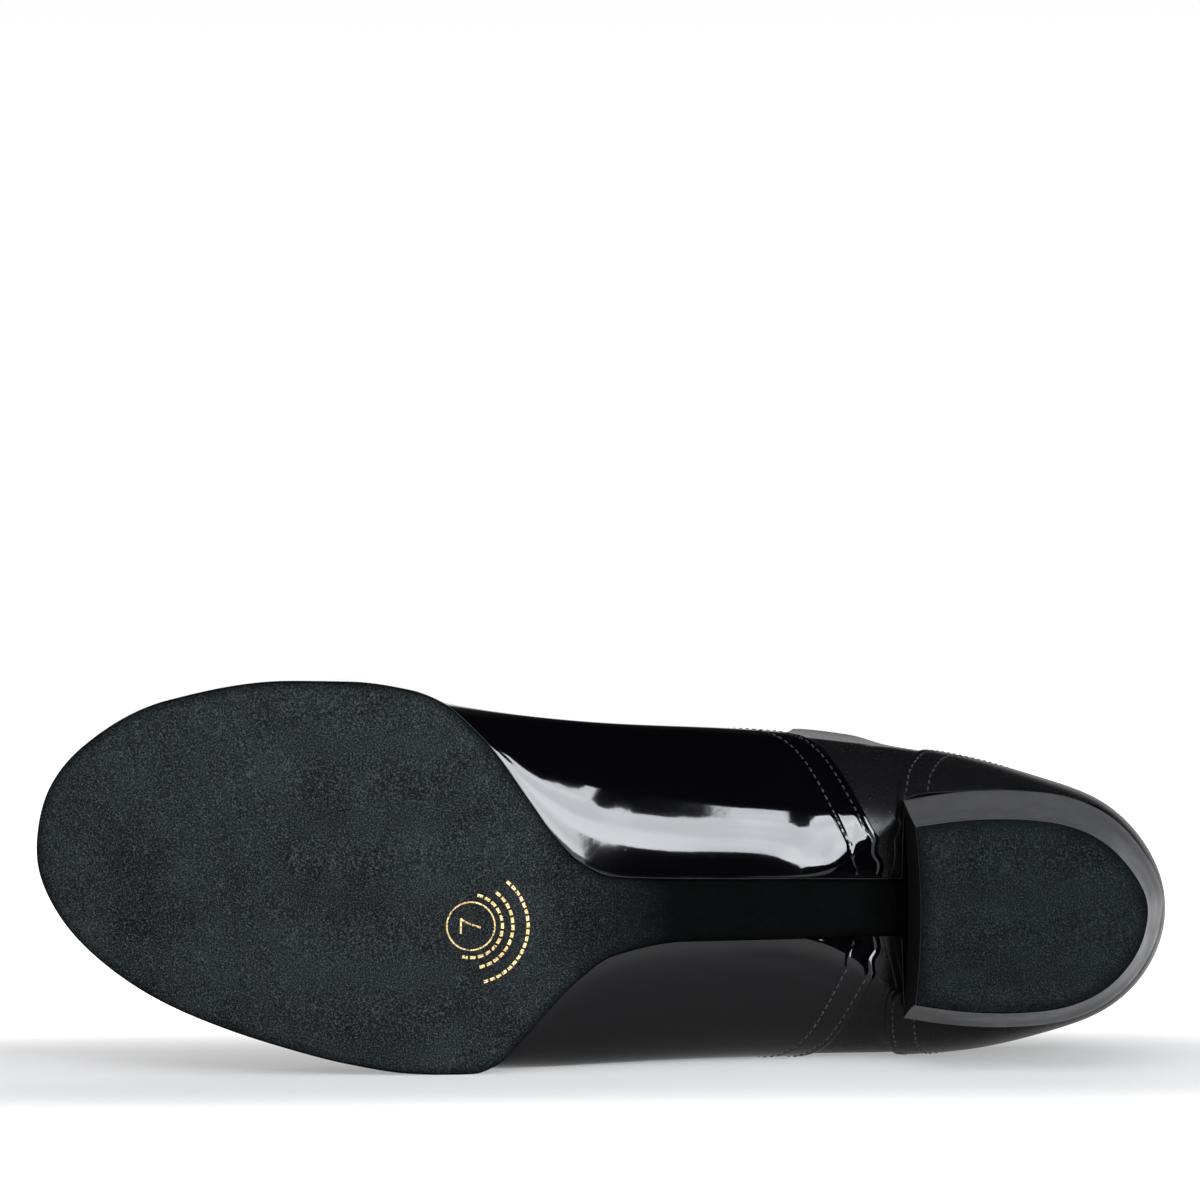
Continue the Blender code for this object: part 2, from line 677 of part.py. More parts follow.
def loft_rings(name, rings, material):
    """Closed solid through a stack of outlines, with flat ends."""
    mesh = bmesh.new()
    rows = add_grid(mesh, rings)
    skin(mesh, [row + [row[0]] for row in rows])
    mesh.faces.new(rows[0])
    mesh.faces.new(rows[-1])
    return finish_mesh(name, mesh, material)


def make_heel():
    """Heel block, lofted from the top piece up to the seat and cored out from above."""
    base = HEEL_TIP_THICKNESS + CLEARANCE
    rings = []
    for ring in HEEL_RINGS:
        outline = heel_outline(HEEL_TIP_TAPER * ring.taper)
        seat = tread_height(outline[:, 0]) - CLEARANCE
        rings.append(np.column_stack([outline, base + (seat - base) * ring.height]))
    rim = heel_outline(0.0, HEEL_CORE_WALL)
    rings.append(np.column_stack([rim, tread_height(rim[:, 0]) - CLEARANCE]))
    floor = heel_outline(HEEL_TIP_TAPER, HEEL_CORE_WALL)
    rings.append(np.column_stack([floor, np.full(len(floor), base + HEEL_CORE_FLOOR)]))
    return loft_rings("heel", rings, make_material("heel lacquer", (0.02, 0.02, 0.021), 0.35))


def make_heel_tip():
    """Suede top piece under the heel, standing on the tread plane."""
    outline = heel_outline(HEEL_TIP_TAPER)
    flat = np.zeros(len(outline))
    rings = [np.column_stack([outline, flat]),
             np.column_stack([outline, flat + HEEL_TIP_THICKNESS])]
    return loft_rings("heel_tip", rings, make_material("top piece suede", (0.025, 0.028, 0.03), 0.95))


def make_tongue():
    """Leather sheet under the facings that runs on past the top of the lacing."""
    stations = np.linspace(TONGUE_SPAN.start, TONGUE_SPAN.end, TONGUE_LINES + 1)
    levels = np.linspace(TONGUE_LEVELS.start, TONGUE_LEVELS.end, TONGUE_SIDE_FACES + 1)
    depth = WALL + OVERLAY + 2.0 * CLEARANCE
    sides = []
    for side, order in ((INNER, levels), (OUTER, levels[::-1])):
        for value in order:
            level = np.full_like(stations, value)
            sides.append(wall_points(side, stations, level, depth))
    top = np.stack(sides, axis=1)
    middle = top.mean(axis=1)
    run = middle[-1] - middle[-3]
    run[1] = 0.0
    run /= np.linalg.norm(run)
    steps = TONGUE_RISE * np.linspace(0.0, 1.0, TONGUE_END_LINES + 1)[1:]
    end = top[-1][None, :, :] + steps[:, None, None] * run
    top = np.concatenate([top, end])
    bottom = top.copy()
    bottom[:, :, 2] -= TONGUE_THICKNESS
    return sheet_mesh("tongue", top, bottom, make_material("soft leather", (0.02, 0.02, 0.02), 0.5))


def lace_run(start, end, shift):
    """Path of one run of lace between two eyelets, given as (side, station).

    It climbs each facing from the eyelet to its edge and bridges the gap between them. The
    shift sets the run a little behind and above the one that it crosses.
    """
    share = np.linspace(0.0, 1.0, LACE_POINTS)
    station = start[1] + (end[1] - start[1]) * share
    near = np.clip(share / LACE_CLIMB, 0.0, 1.0)
    far = np.clip((1.0 - share) / LACE_CLIMB, 0.0, 1.0)
    leave = wall_points(start[0], station, EYELET_LEVEL + (1.0 - EYELET_LEVEL) * near)
    reach = wall_points(end[0], station, EYELET_LEVEL + (1.0 - EYELET_LEVEL) * far)
    bridge = np.clip((share - LACE_CLIMB) / (1.0 - 2.0 * LACE_CLIMB), 0.0, 1.0)[:, None]
    path = leave + (reach - leave) * bridge
    hump = np.sin(math.pi * share)
    path[:, 2] += LACE_DIAMETER / 2.0 + LACE_LIFT + (LACE_ARCH + 0.5 * shift) * hump
    path[:, 0] += shift
    return path


def tube(mesh, path, radius):
    """Closed round tube along a path, added to a bmesh."""
    path = np.asarray(path)
    along = np.gradient(path, axis=0)
    along /= np.linalg.norm(along, axis=1, keepdims=True)
    upward = np.array([0.0, 0.0, 1.0])
    across = np.cross(along, upward)
    across /= np.linalg.norm(across, axis=1, keepdims=True)
    raised = np.cross(across, along)
    angle = np.linspace(0.0, 2.0 * math.pi, LACE_SIDES, endpoint=False)
    ring = (np.cos(angle)[None, :, None] * across[:, None, :]
            + np.sin(angle)[None, :, None] * raised[:, None, :])
    rows = add_grid(mesh, path[:, None, :] + radius * ring)
    skin(mesh, [row + [row[0]] for row in rows])
    mesh.faces.new(rows[0])
    mesh.faces.new(rows[-1])


def lace_object(name, path, material):
    """One run of lace as an object of its own."""
    mesh = bmesh.new()
    tube(mesh, path, LACE_DIAMETER / 2.0)
    return finish_mesh(name, mesh, material)


def make_lace():
    """Lace: a bar at the throat and a crossing between each two rows, joined to one solid."""
    stations = np.linspace(EYELET_STATIONS.start, EYELET_STATIONS.end, EYELET_ROWS)
    material = make_material("lace", (0.012, 0.012, 0.012), 0.7)
    runs = [((INNER, stations[0]), (OUTER, stations[0]))]
    for low, high in zip(stations[:-1], stations[1:]):
        runs.append(((INNER, low), (OUTER, high)))
        runs.append(((OUTER, low), (INNER, high)))
    crossings = bpy.data.collections.new("lace runs")
    bpy.context.scene.collection.children.link(crossings)
    lace = lace_object("lace", lace_run(*runs[0], -LACE_STAGGER), material)
    for number, (start, end) in enumerate(runs[1:], 1):
        shift = LACE_STAGGER * (number % 3 - 1)
        run = lace_object(f"lace_run_{number}", lace_run(start, end, shift), material)
        run.hide_render = True
        run.display_type = "WIRE"
        crossings.objects.link(run)
    join = lace.modifiers.new("join", "BOOLEAN")
    join.operation = "UNION"
    join.operand_type = "COLLECTION"
    join.collection = crossings
    return lace


def evaluated_points(items):
    """Vertices of the objects as modelled, and the middle of their joined volume."""
    graph = bpy.context.evaluated_depsgraph_get()
    clouds = []
    volume = 0.0
    moment = np.zeros(3)
    for item in items:
        shape = item.evaluated_get(graph)
        data = shape.to_mesh()
        flat = np.empty(len(data.vertices) * 3)
        data.vertices.foreach_get("co", flat)
        cloud = flat.reshape(-1, 3)
        data.calc_loop_triangles()
        corners = np.empty(len(data.loop_triangles) * 3, dtype=np.int64)
        data.loop_triangles.foreach_get("vertices", corners)
        a, b, c = (cloud[corners.reshape(-1, 3)[:, k]] for k in range(3))
        part = np.einsum("ij,ij->i", a, np.cross(b, c)) / 6.0
        volume += part.sum()
        moment += (part[:, None] * (a + b + c) / 4.0).sum(axis=0)
        clouds.append(cloud)
        shape.to_mesh_clear()
    return np.concatenate(clouds), moment / volume


def resting_face(points, middle):
    """Outward direction of the hull face that the shoe rests on when laid on its outer side.

    A body rests on a face of its convex hull when the middle of its mass lies over that face.
    """
    hull = bmesh.new()
    for point in points:
        hull.verts.new(Vector(point))
    result = bmesh.ops.convex_hull(hull, input=hull.verts)
    best = None
    outer_side = Vector((0.0, 1.0, 0.0))
    inside = Vector(middle)
    for face in result["geom"]:
        if not isinstance(face, bmesh.types.BMFace):
            continue
        face.normal_update()
        normal = face.normal.copy()
        corners = [vertex.co for vertex in face.verts]
        if normal.dot(corners[0] - inside) < 0.0:
            normal.negate()
        foot = inside + normal * normal.dot(corners[0] - inside)
        turns = []
        for first, second in zip(corners, corners[1:] + corners[:1]):
            turns.append((second - first).cross(foot - first).dot(normal))
        covered = all(turn >= 0.0 for turn in turns) or all(turn <= 0.0 for turn in turns)
        score = normal.dot(outer_side)
        if covered and (best is None or score > best[0]):
            best = (score, normal)
    hull.free()
    return best[1]


def lay_down(items):
    """Parent the pieces to an empty that lays the shoe on its outer side on the floor."""
    bpy.context.view_layer.update()
    points, middle = evaluated_points(items)
    tip = Matrix.Rotation(-math.pi / 2.0, 4, "X")
    face = tip.to_3x3() @ resting_face(points, middle)
    settle = face.rotation_difference(Vector((0.0, 0.0, -1.0))).to_matrix().to_4x4()
    turn = settle @ tip
    world = points @ np.array(turn.to_3x3()).T
    low = world.min(axis=0)
    high = world.max(axis=0)
    place = Matrix.Translation((-(low[0] + high[0]) / 2, -(low[1] + high[1]) / 2, -low[2]))
    rest = bpy.data.objects.new("shoe_rest", None)
    bpy.context.collection.objects.link(rest)
    rest.matrix_world = place @ turn
    for item in bpy.data.objects:
        if item is not rest:
            item.parent = rest
    return rest


def build():
    """Make every piece and lay the shoe down."""
    clear_scene()
    items = [make_upper(), make_outsole(), make_insole(), make_heel(), make_heel_tip(),
             make_tongue(), make_lace()]
    return lay_down(items)


build()
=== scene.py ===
"""Looks of a ballroom dance shoe for a right foot: patent leather, suede, stitches and lace.

The shoe's own frame has the toe at x = 0, the heel towards +X, the inner side at -Y, the outer
side at +Y and the tread plane at z = 0, in metres. Every shape is worked out there, as a function
of the turn round the outline and the level up the wall, and is then laid on its outer side, as
the part lies. Turns are signed: negative on the inner side, positive on the outer side, 0 at the
toe and pi at the heel.
"""
import logging
import math
from dataclasses import dataclass
from enum import Enum
from typing import Callable, NamedTuple, Sequence

import bmesh
import bpy
import numpy as np
from mathutils import Euler, Matrix, Vector


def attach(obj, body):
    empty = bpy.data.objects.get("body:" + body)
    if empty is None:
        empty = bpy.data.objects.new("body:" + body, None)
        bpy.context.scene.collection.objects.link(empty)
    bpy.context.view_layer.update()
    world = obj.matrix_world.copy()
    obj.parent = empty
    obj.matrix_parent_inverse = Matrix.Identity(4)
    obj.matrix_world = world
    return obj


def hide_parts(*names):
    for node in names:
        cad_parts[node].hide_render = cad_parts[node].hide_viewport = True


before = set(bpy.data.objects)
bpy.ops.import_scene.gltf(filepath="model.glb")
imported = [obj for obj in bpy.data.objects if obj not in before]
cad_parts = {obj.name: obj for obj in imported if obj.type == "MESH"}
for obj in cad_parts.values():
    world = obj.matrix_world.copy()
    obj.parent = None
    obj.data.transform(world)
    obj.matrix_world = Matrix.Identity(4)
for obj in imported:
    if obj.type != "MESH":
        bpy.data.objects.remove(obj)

LOG = logging.getLogger("dance_shoe")
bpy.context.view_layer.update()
BODY = "root"
MM = 0.001

# How the part lies: the turn and the place that take the shoe's own frame to the floor
REST_TURN = Euler([math.radians(angle) for angle in (-88.749812, 0.375776, 0.004100)])
REST_PLACE = Vector((-0.145026162, -0.047441795, 0.043865837))
REST = Matrix.Translation(REST_PLACE) @ REST_TURN.to_matrix().to_4x4()

# The upper's wall, and the step of a panel that lies over another, in metres
WALL = 0.0022
OVERLAY = 0.0007
WHITE = (1.0, 1.0, 1.0, 1.0)


class Side(Enum):
    """Side of the shoe, with the sign of its turns."""

    INNER = -1
    OUTER = 1


class Span(NamedTuple):
    """Start and end of a stretch."""

    start: float
    end: float


class Outline(NamedTuple):
    """Outline row: share of the outline's own span, then shares of the ball width each side."""

    station: float
    inner: float
    outer: float


class Height(NamedTuple):
    """Height of the widest line above the feather line, as a share of the instep height."""

    station: float
    share: float


class Top(NamedTuple):
    """Top edge row: sides, rises above the feather line, and the arch of the wall in degrees."""

    station: float
    inner: float
    outer: float
    inner_rise: float
    outer_rise: float
    arch: float


class Tread(NamedTuple):
    """Tread row: shares of the toe spring and of the heel height."""

    station: float
    spring: float
    arch: float


class Seam(NamedTuple):
    """Seam row: level up the wall and the station that the seam passes there on each side."""

    level: float
    inner: float
    outer: float


class Crease(NamedTuple):
    """Soft trough (negative depth) or ridge: middle, direction, half sizes and depth in mm."""

    side: Side
    station: float
    level: float
    lean: float
    reach: float
    width: float
    depth: float


SOLE_ROWS = (
    Outline(0.000, -0.130, -0.130), Outline(0.010, -0.275, -0.012),
    Outline(0.043, -0.395, 0.116), Outline(0.118, -0.511, 0.263),
    Outline(0.226, -0.560, 0.374), Outline(0.278, -0.558, 0.412),
    Outline(0.330, -0.537, 0.435), Outline(0.358, -0.506, 0.438),
    Outline(0.386, -0.438, 0.436), Outline(0.404, -0.381, 0.418),
    Outline(0.435, -0.254, 0.331), Outline(0.455, -0.172, 0.266),
    Outline(0.479, -0.099, 0.198), Outline(0.508, -0.061, 0.142),
    Outline(0.573, -0.052, 0.109), Outline(0.658, -0.047, 0.109),
    Outline(0.766, -0.042, 0.105), Outline(0.769, -0.249, 0.306),
    Outline(0.807, -0.267, 0.332), Outline(0.850, -0.272, 0.342),
    Outline(0.894, -0.264, 0.329), Outline(0.937, -0.235, 0.295),
    Outline(0.980, -0.116, 0.186), Outline(1.000, 0.030, 0.030),
)
FEATHER_ROWS = (
    Outline(0.000, -0.130, -0.130), Outline(0.011, -0.251, -0.030),
    Outline(0.044, -0.374, 0.095), Outline(0.118, -0.490, 0.241),
    Outline(0.223, -0.538, 0.353), Outline(0.330, -0.513, 0.413),
    Outline(0.362, -0.469, 0.414), Outline(0.403, -0.349, 0.387),
    Outline(0.434, -0.228, 0.305), Outline(0.477, -0.082, 0.177),
    Outline(0.512, -0.039, 0.120), Outline(0.580, -0.030, 0.090),
    Outline(0.660, -0.030, 0.092), Outline(0.710, -0.069, 0.137),
    Outline(0.760, -0.167, 0.236), Outline(0.810, -0.239, 0.307),
    Outline(0.870, -0.252, 0.321), Outline(0.930, -0.216, 0.283),
    Outline(0.970, -0.138, 0.206), Outline(1.000, 0.039, 0.039),
)
WIDEST_ROWS = (
    Outline(0.000, -0.128, -0.128), Outline(0.010, -0.266, -0.020),
    Outline(0.043, -0.386, 0.107), Outline(0.117, -0.501, 0.254),
    Outline(0.223, -0.550, 0.366), Outline(0.275, -0.545, 0.402),
    Outline(0.360, -0.496, 0.434), Outline(0.420, -0.468, 0.440),
    Outline(0.508, -0.443, 0.438), Outline(0.616, -0.426, 0.438),
    Outline(0.726, -0.392, 0.441), Outline(0.780, -0.371, 0.438),
    Outline(0.835, -0.339, 0.421), Outline(0.889, -0.294, 0.383),
    Outline(0.943, -0.233, 0.325), Outline(0.986, -0.103, 0.200),
    Outline(1.000, 0.046, 0.046),
)
WIDEST_HEIGHTS = (
    Height(0.00, 0.108), Height(0.10, 0.130), Height(0.25, 0.148), Height(0.40, 0.163),
    Height(0.50, 0.217), Height(0.60, 0.259), Height(0.70, 0.262), Height(0.80, 0.259),
    Height(0.90, 0.268), Height(1.00, 0.253),
)
TOP_ROWS = (
    Top(0.000, -0.118, -0.118, 0.300, 0.300, 69.0),
    Top(0.090, -0.113, -0.113, 0.400, 0.400, 82.0),
    Top(0.200, -0.098, -0.098, 0.535, 0.535, 89.0),
    Top(0.290, -0.079, -0.079, 0.645, 0.645, 90.0),
    Top(0.390, -0.049, -0.049, 0.770, 0.770, 90.0),
    Top(0.480, -0.090, 0.012, 0.872, 0.868, 84.0),
    Top(0.555, -0.120, 0.060, 0.943, 0.935, 78.0),
    Top(0.598, -0.157, 0.108, 0.985, 0.970, 72.0),
    Top(0.628, -0.260, 0.215, 0.935, 0.905, 66.0),
    Top(0.668, -0.418, 0.345, 0.780, 0.745, 60.0),
    Top(0.720, -0.405, 0.395, 0.660, 0.620, 56.0),
    Top(0.786, -0.350, 0.385, 0.612, 0.564, 54.0),
    Top(0.852, -0.300, 0.350, 0.640, 0.604, 54.0),
    Top(0.918, -0.236, 0.295, 0.708, 0.688, 54.0),
    Top(0.973, -0.113, 0.190, 0.760, 0.754, 54.0),
    Top(1.000, 0.045, 0.045, 0.773, 0.773, 54.0),
)
TREAD_ROWS = (
    Tread(0.000, 1.000, 0.000), Tread(0.050, 0.640, 0.000), Tread(0.100, 0.370, 0.000),
    Tread(0.150, 0.165, 0.000), Tread(0.200, 0.035, 0.000), Tread(0.230, 0.000, 0.000),
    Tread(0.350, 0.000, 0.000), Tread(0.400, 0.000, 0.025), Tread(0.450, 0.000, 0.095),
    Tread(0.500, 0.000, 0.210), Tread(0.600, 0.000, 0.510), Tread(0.680, 0.000, 0.760),
    Tread(0.740, 0.000, 0.905), Tread(0.800, 0.000, 0.970), Tread(0.860, 0.000, 0.992),
    Tread(1.000, 0.000, 1.020),
)
VAMP_SEAM = (
    Seam(0.00, 0.812, 0.810), Seam(0.03, 0.790, 0.787), Seam(0.065, 0.7600, 0.7575),
    Seam(0.13, 0.7435, 0.7405), Seam(0.19, 0.7308, 0.7280), Seam(0.25, 0.717, 0.7150),
    Seam(0.37, 0.687, 0.687), Seam(0.45, 0.662, 0.664), Seam(0.60, 0.598, 0.600),
    Seam(0.80, 0.492, 0.492), Seam(1.00, 0.390, 0.390),
)
COUNTER_SEAM = (
    Seam(0.00, 0.826, 0.822), Seam(0.03, 0.804, 0.794), Seam(0.08, 0.7715, 0.7705),
    Seam(0.14, 0.7632, 0.7545), Seam(0.20, 0.7615, 0.7495), Seam(0.26, 0.762, 0.748),
    Seam(0.34, 0.769, 0.750), Seam(0.45, 0.785, 0.762), Seam(0.60, 0.826, 0.800),
    Seam(0.80, 0.893, 0.884), Seam(1.00, 0.955, 0.955),
)
HEEL_ROWS = (
    Outline(0.00, -0.460, 0.460), Outline(0.20, -0.492, 0.492), Outline(0.42, -0.500, 0.500),
    Outline(0.66, -0.464, 0.464), Outline(0.82, -0.372, 0.372), Outline(0.93, -0.235, 0.235),
    Outline(1.00, -0.030, -0.030),
)
HEEL_TAPER_ROWS = (
    Height(0.00, 1.00), Height(0.35, 0.72), Height(0.70, 0.36), Height(0.90, 0.10),
    Height(1.00, 0.00),
)


def natural_spline(knots: Sequence[float], values: Sequence[float], x: np.ndarray) -> np.ndarray:
    """Cubic curve with continuous bend through the values.

    Args:
        knots: places of the values, rising.
        values: what the curve passes through.
        x: places to read.

    Returns:
        The curve at x.
    """
    knots = np.asarray(knots, dtype=float)
    values = np.asarray(values, dtype=float)
    count = len(knots)
    gaps = np.diff(knots)
    slopes = np.diff(values) / gaps
    matrix = np.eye(count)
    right = np.zeros(count)
    inside = np.arange(1, count - 1)
    matrix[inside, inside - 1] = gaps[:-1]
    matrix[inside, inside] = 2.0 * (gaps[:-1] + gaps[1:])
    matrix[inside, inside + 1] = gaps[1:]
    right[inside] = 6.0 * np.diff(slopes)
    bends = np.linalg.solve(matrix, right)
    x = np.asarray(x, dtype=float)
    cell = np.clip(np.searchsorted(knots, x) - 1, 0, count - 2)
    after = (knots[cell + 1] - x) / gaps[cell]
    before = (x - knots[cell]) / gaps[cell]
    bend = (after ** 3 - after) * bends[cell] + (before ** 3 - before) * bends[cell + 1]
    return after * values[cell] + before * values[cell + 1] + bend * gaps[cell] ** 2 / 6.0


def steady_spline(knots: Sequence[float], values: Sequence[float], x: np.ndarray) -> np.ndarray:
    """Cubic curve through the values that never overshoots between two of them.

    Args:
        knots: places of the values, rising.
        values: what the curve passes through.
        x: places to read.

    Returns:
        The curve at x.
    """
    knots = np.asarray(knots, dtype=float)
    values = np.asarray(values, dtype=float)
    gaps = np.diff(knots)
    slopes = np.diff(values) / gaps
    tangents = np.zeros(len(knots))
    before, after = slopes[:-1], slopes[1:]
    weight_a = 2.0 * gaps[1:] + gaps[:-1]
    weight_b = gaps[1:] + 2.0 * gaps[:-1]
    same = before * after > 0.0
    safe_before = np.where(same, before, 1.0)
    safe_after = np.where(same, after, 1.0)
    mean = (weight_a + weight_b) / (weight_a / safe_before + weight_b / safe_after)
    tangents[1:-1] = np.where(same, mean, 0.0)
    tangents[0], tangents[-1] = slopes[0], slopes[-1]
    x = np.asarray(x, dtype=float)
    cell = np.clip(np.searchsorted(knots, x) - 1, 0, len(knots) - 2)
    t = (x - knots[cell]) / gaps[cell]
    part_a = (1.0 + 2.0 * t) * (1.0 - t) ** 2 * values[cell]
    part_b = t * (1.0 - t) ** 2 * gaps[cell] * tangents[cell]
    part_c = t ** 2 * (3.0 - 2.0 * t) * values[cell + 1]
    part_d = t ** 2 * (t - 1.0) * gaps[cell] * tangents[cell + 1]
    return part_a + part_b + part_c + part_d


def smooth_step(low: float, high: float, x: np.ndarray) -> np.ndarray:
    """Rise from 0 at low to 1 at high with flat ends."""
    t = np.clip((x - low) / (high - low), 0.0, 1.0)
    return t * t * (3.0 - 2.0 * t)


def turn_of(station: np.ndarray) -> np.ndarray:
    """Turn round the outline, 0 at the toe and pi at the heel, for a share of its length."""
    return np.arccos(1.0 - 2.0 * np.clip(np.asarray(station, dtype=float), 0.0, 1.0))


def station_of(turn: np.ndarray) -> np.ndarray:
    """Share of the length at a turn round the outline."""
    return (1.0 - np.cos(turn)) / 2.0


def column(rows: Sequence[NamedTuple], name: str) -> np.ndarray:
    """One named column of a table."""
    return np.array([getattr(row, name) for row in rows], dtype=float)


def unit(vectors: np.ndarray) -> np.ndarray:
    """Vectors at length one."""
    return vectors / np.maximum(np.linalg.norm(vectors, axis=-1, keepdims=True), 1e-12)


def joined(*stretches: np.ndarray) -> np.ndarray:
    """Stretches of a rising line end to end, each shared end kept once."""
    return np.concatenate([stretches[0]] + [stretch[1:] for stretch in stretches[1:]])


@dataclass(frozen=True)
class Last:
    """Form that the shoe is built over, with the sizes of the part."""

    length: float = 0.290
    ball_width: float = 0.0988
    heel_height: float = 0.0245
    instep_height: float = 0.0806
    toe_spring: float = 0.0088
    sole_thickness: float = 0.0036
    clearance: float = 0.0003
    feather_lap: float = 0.0060
    lap_share: float = 0.25
    lap_cover: float = 0.0035
    lap_drift: float = 0.32
    lap_sideways: float = 0.5
    skive: float = 0.0005
    narrow_width: float = 0.06
    feather_level: float = 0.10
    widest_level: float = 0.45
    sole_span: Span = Span(0.0, 0.988)
    widest_span: Span = Span(0.0035, 1.0)
    feather_span: Span = Span(0.0075, 0.982)
    top_span: Span = Span(0.065, 0.975)

    def read_round(self, rows: Sequence[NamedTuple], inner: str, outer: str, turn: np.ndarray,
                   curve: Callable) -> np.ndarray:
        """Read two columns of a table as one closed curve, smooth through toe and heel.

        Args:
            rows: table with a station column.
            inner: name of the column for negative turns.
            outer: name of the column for positive turns.
            turn: signed turns to read.
            curve: kind of spline.

        Returns:
            The values at the turns.
        """
        half = turn_of(column(rows, "station"))
        knots = np.concatenate([-half[::-1], half[1:]])
        values = np.concatenate([column(rows, inner)[::-1], column(rows, outer)[1:]])
        reach = 4
        full = 2.0 * math.pi
        knots = np.concatenate([knots[-1 - reach:-1] - full, knots, knots[1:1 + reach] + full])
        values = np.concatenate([values[-1 - reach:-1], values, values[1:1 + reach]])
        return curve(knots, values, turn)

    def outline(self, rows: Sequence[NamedTuple], turn: np.ndarray,
                curve: Callable = natural_spline) -> np.ndarray:
        """Sideways place of an outline at signed turns."""
        return self.ball_width * self.read_round(rows, "inner", "outer", turn, curve)

    def along(self, span: Span, turn: np.ndarray) -> np.ndarray:
        """Place along the shoe at a turn round an outline of the given span."""
        return self.length * (span.start + (span.end - span.start) * station_of(turn))

    def tread(self, x: np.ndarray) -> np.ndarray:
        """Height of the underside of the sole at x: toe spring plus the arch up to the heel."""
        share = np.clip(np.asarray(x) / self.length, 0.0, 1.0)
        stations = column(TREAD_ROWS, "station")
        spring = steady_spline(stations, column(TREAD_ROWS, "spring"), share)
        arch = steady_spline(stations, column(TREAD_ROWS, "arch"), share)
        return self.toe_spring * spring + self.heel_height * arch

    def feather(self, x: np.ndarray) -> np.ndarray:
        """Height at which the upper rests on the sole at x."""
        return self.tread(x) + self.sole_thickness + self.clearance

    def lap_reach(self, turn: np.ndarray) -> np.ndarray:
        """How far the wall runs in under the foot, so that the sole covers its edge."""
        outer = self.outline(FEATHER_ROWS, np.abs(turn))
        inner = self.outline(FEATHER_ROWS, -np.abs(turn))
        width = np.maximum(outer - inner, self.narrow_width * self.ball_width)
        plain = np.minimum(self.feather_lap, self.lap_share * width)
        drift = self.lap_drift * self.ball_width * np.minimum(np.cos(turn), 0.0)
        sole_share = (self.along(self.feather_span, turn) + drift) / self.length
        side = np.where(turn < 0.0, -1.0, 1.0)
        sole_turn = side * turn_of(sole_share / self.sole_span.end)
        sole = self.outline(SOLE_ROWS, sole_turn, steady_spline)
        edge = self.outline(FEATHER_ROWS, turn)
        sideways = np.maximum(np.abs(np.sin(turn)), self.lap_sideways)
        return np.maximum(plain, (side * (edge - sole) + self.lap_cover) / sideways)

    def guides(self, turn: np.ndarray, inset: float) -> tuple[np.ndarray, ...]:
        """Feather, widest and top points at each turn, moved into the wall.

        Args:
            turn: signed turns, wrapped to one round.
            inset: how far to move into the wall.

        Returns:
            The three lines of points and the arch angle of the wall.
        """
        side = np.where(turn < 0.0, -1.0, 1.0)
        feather_x = self.along(self.feather_span, turn)
        feather = np.stack([feather_x, self.outline(FEATHER_ROWS, turn),
                            self.feather(feather_x)], axis=-1)
        widest_x = self.along(self.widest_span, turn)
        rise = natural_spline(column(WIDEST_HEIGHTS, "station"),
                              column(WIDEST_HEIGHTS, "share"), station_of(turn))
        widest = np.stack([widest_x, self.outline(WIDEST_ROWS, turn),
                           self.feather(widest_x) + self.instep_height * rise], axis=-1)
        top_x = self.along(self.top_span, turn)
        top_rise = self.read_round(TOP_ROWS, "inner_rise", "outer_rise", turn, steady_spline)
        top = np.stack([top_x, self.outline(TOP_ROWS, turn, steady_spline),
                        self.feather(top_x) + self.instep_height * top_rise], axis=-1)
        arch = steady_spline(column(TOP_ROWS, "station"), np.radians(column(TOP_ROWS, "arch")),
                             station_of(turn))
        if inset > 0.0:
            feather[..., 1] -= side * inset
            feather[..., 2] += inset
            feather[..., 0] += inset * np.cos(turn)
            widest[..., 1] -= inset * np.sin(turn)
            widest[..., 0] += inset * np.cos(turn)
            top[..., 2] -= inset * np.sin(arch) ** 2
            top[..., 1] -= inset * np.cos(arch) * np.sin(turn)
            top[..., 0] += inset * np.cos(arch) * np.cos(turn)
        return feather, widest, top, arch

    def wall(self, turn: np.ndarray, level: np.ndarray, inset: float = 0.0) -> np.ndarray:
        """Points of the last's surface.

        From the lasting edge the wall runs in to the feather line, turns up to the widest line
        on a quarter ellipse, and goes on to the top edge on a second ellipse that stops at the
        arch angle.

        Args:
            turn: signed turns.
            level: levels, 0 at the lasting edge and 1 at the top edge.
            inset: how far to move into the wall.

        Returns:
            Points in the shoe's own frame.
        """
        turn, level = np.broadcast_arrays(np.asarray(turn, float), np.asarray(level, float))
        turn = (turn + math.pi) % (2.0 * math.pi) - math.pi
        feather, widest, top, arch = self.guides(turn, inset)
        lap = np.clip(1.0 - level / self.feather_level, 0.0, 1.0)
        low = (level - self.feather_level) / (self.widest_level - self.feather_level)
        high = np.clip((level - self.widest_level) / (1.0 - self.widest_level), 0.0, 1.0)
        bend = np.clip(low, 0.0, 1.0) * math.pi / 2.0
        points = feather + (widest - feather) * np.sin(bend)[..., None]
        points[..., 2] = feather[..., 2] + (widest[..., 2] - feather[..., 2]) * (1 - np.cos(bend))
        angle = high * arch
        lean = ((1.0 - np.cos(angle)) / (1.0 - np.cos(arch)))[..., None]
        climb = np.sin(angle) / np.sin(arch)
        upper = widest + (top - widest) * lean
        upper[..., 2] = widest[..., 2] + (top[..., 2] - widest[..., 2]) * climb
        points = np.where((high > 0.0)[..., None], upper, points)
        reach = (lap * self.lap_reach(turn))[..., None]
        inward = np.stack([np.cos(turn), -np.sin(turn), np.zeros_like(turn)], axis=-1)
        lapped = points + reach * inward
        lapped[..., 2] += self.feather(lapped[..., 0]) - self.feather(points[..., 0])
        if inset == 0.0:
            lapped[..., 2] += lap * self.skive
        return lapped

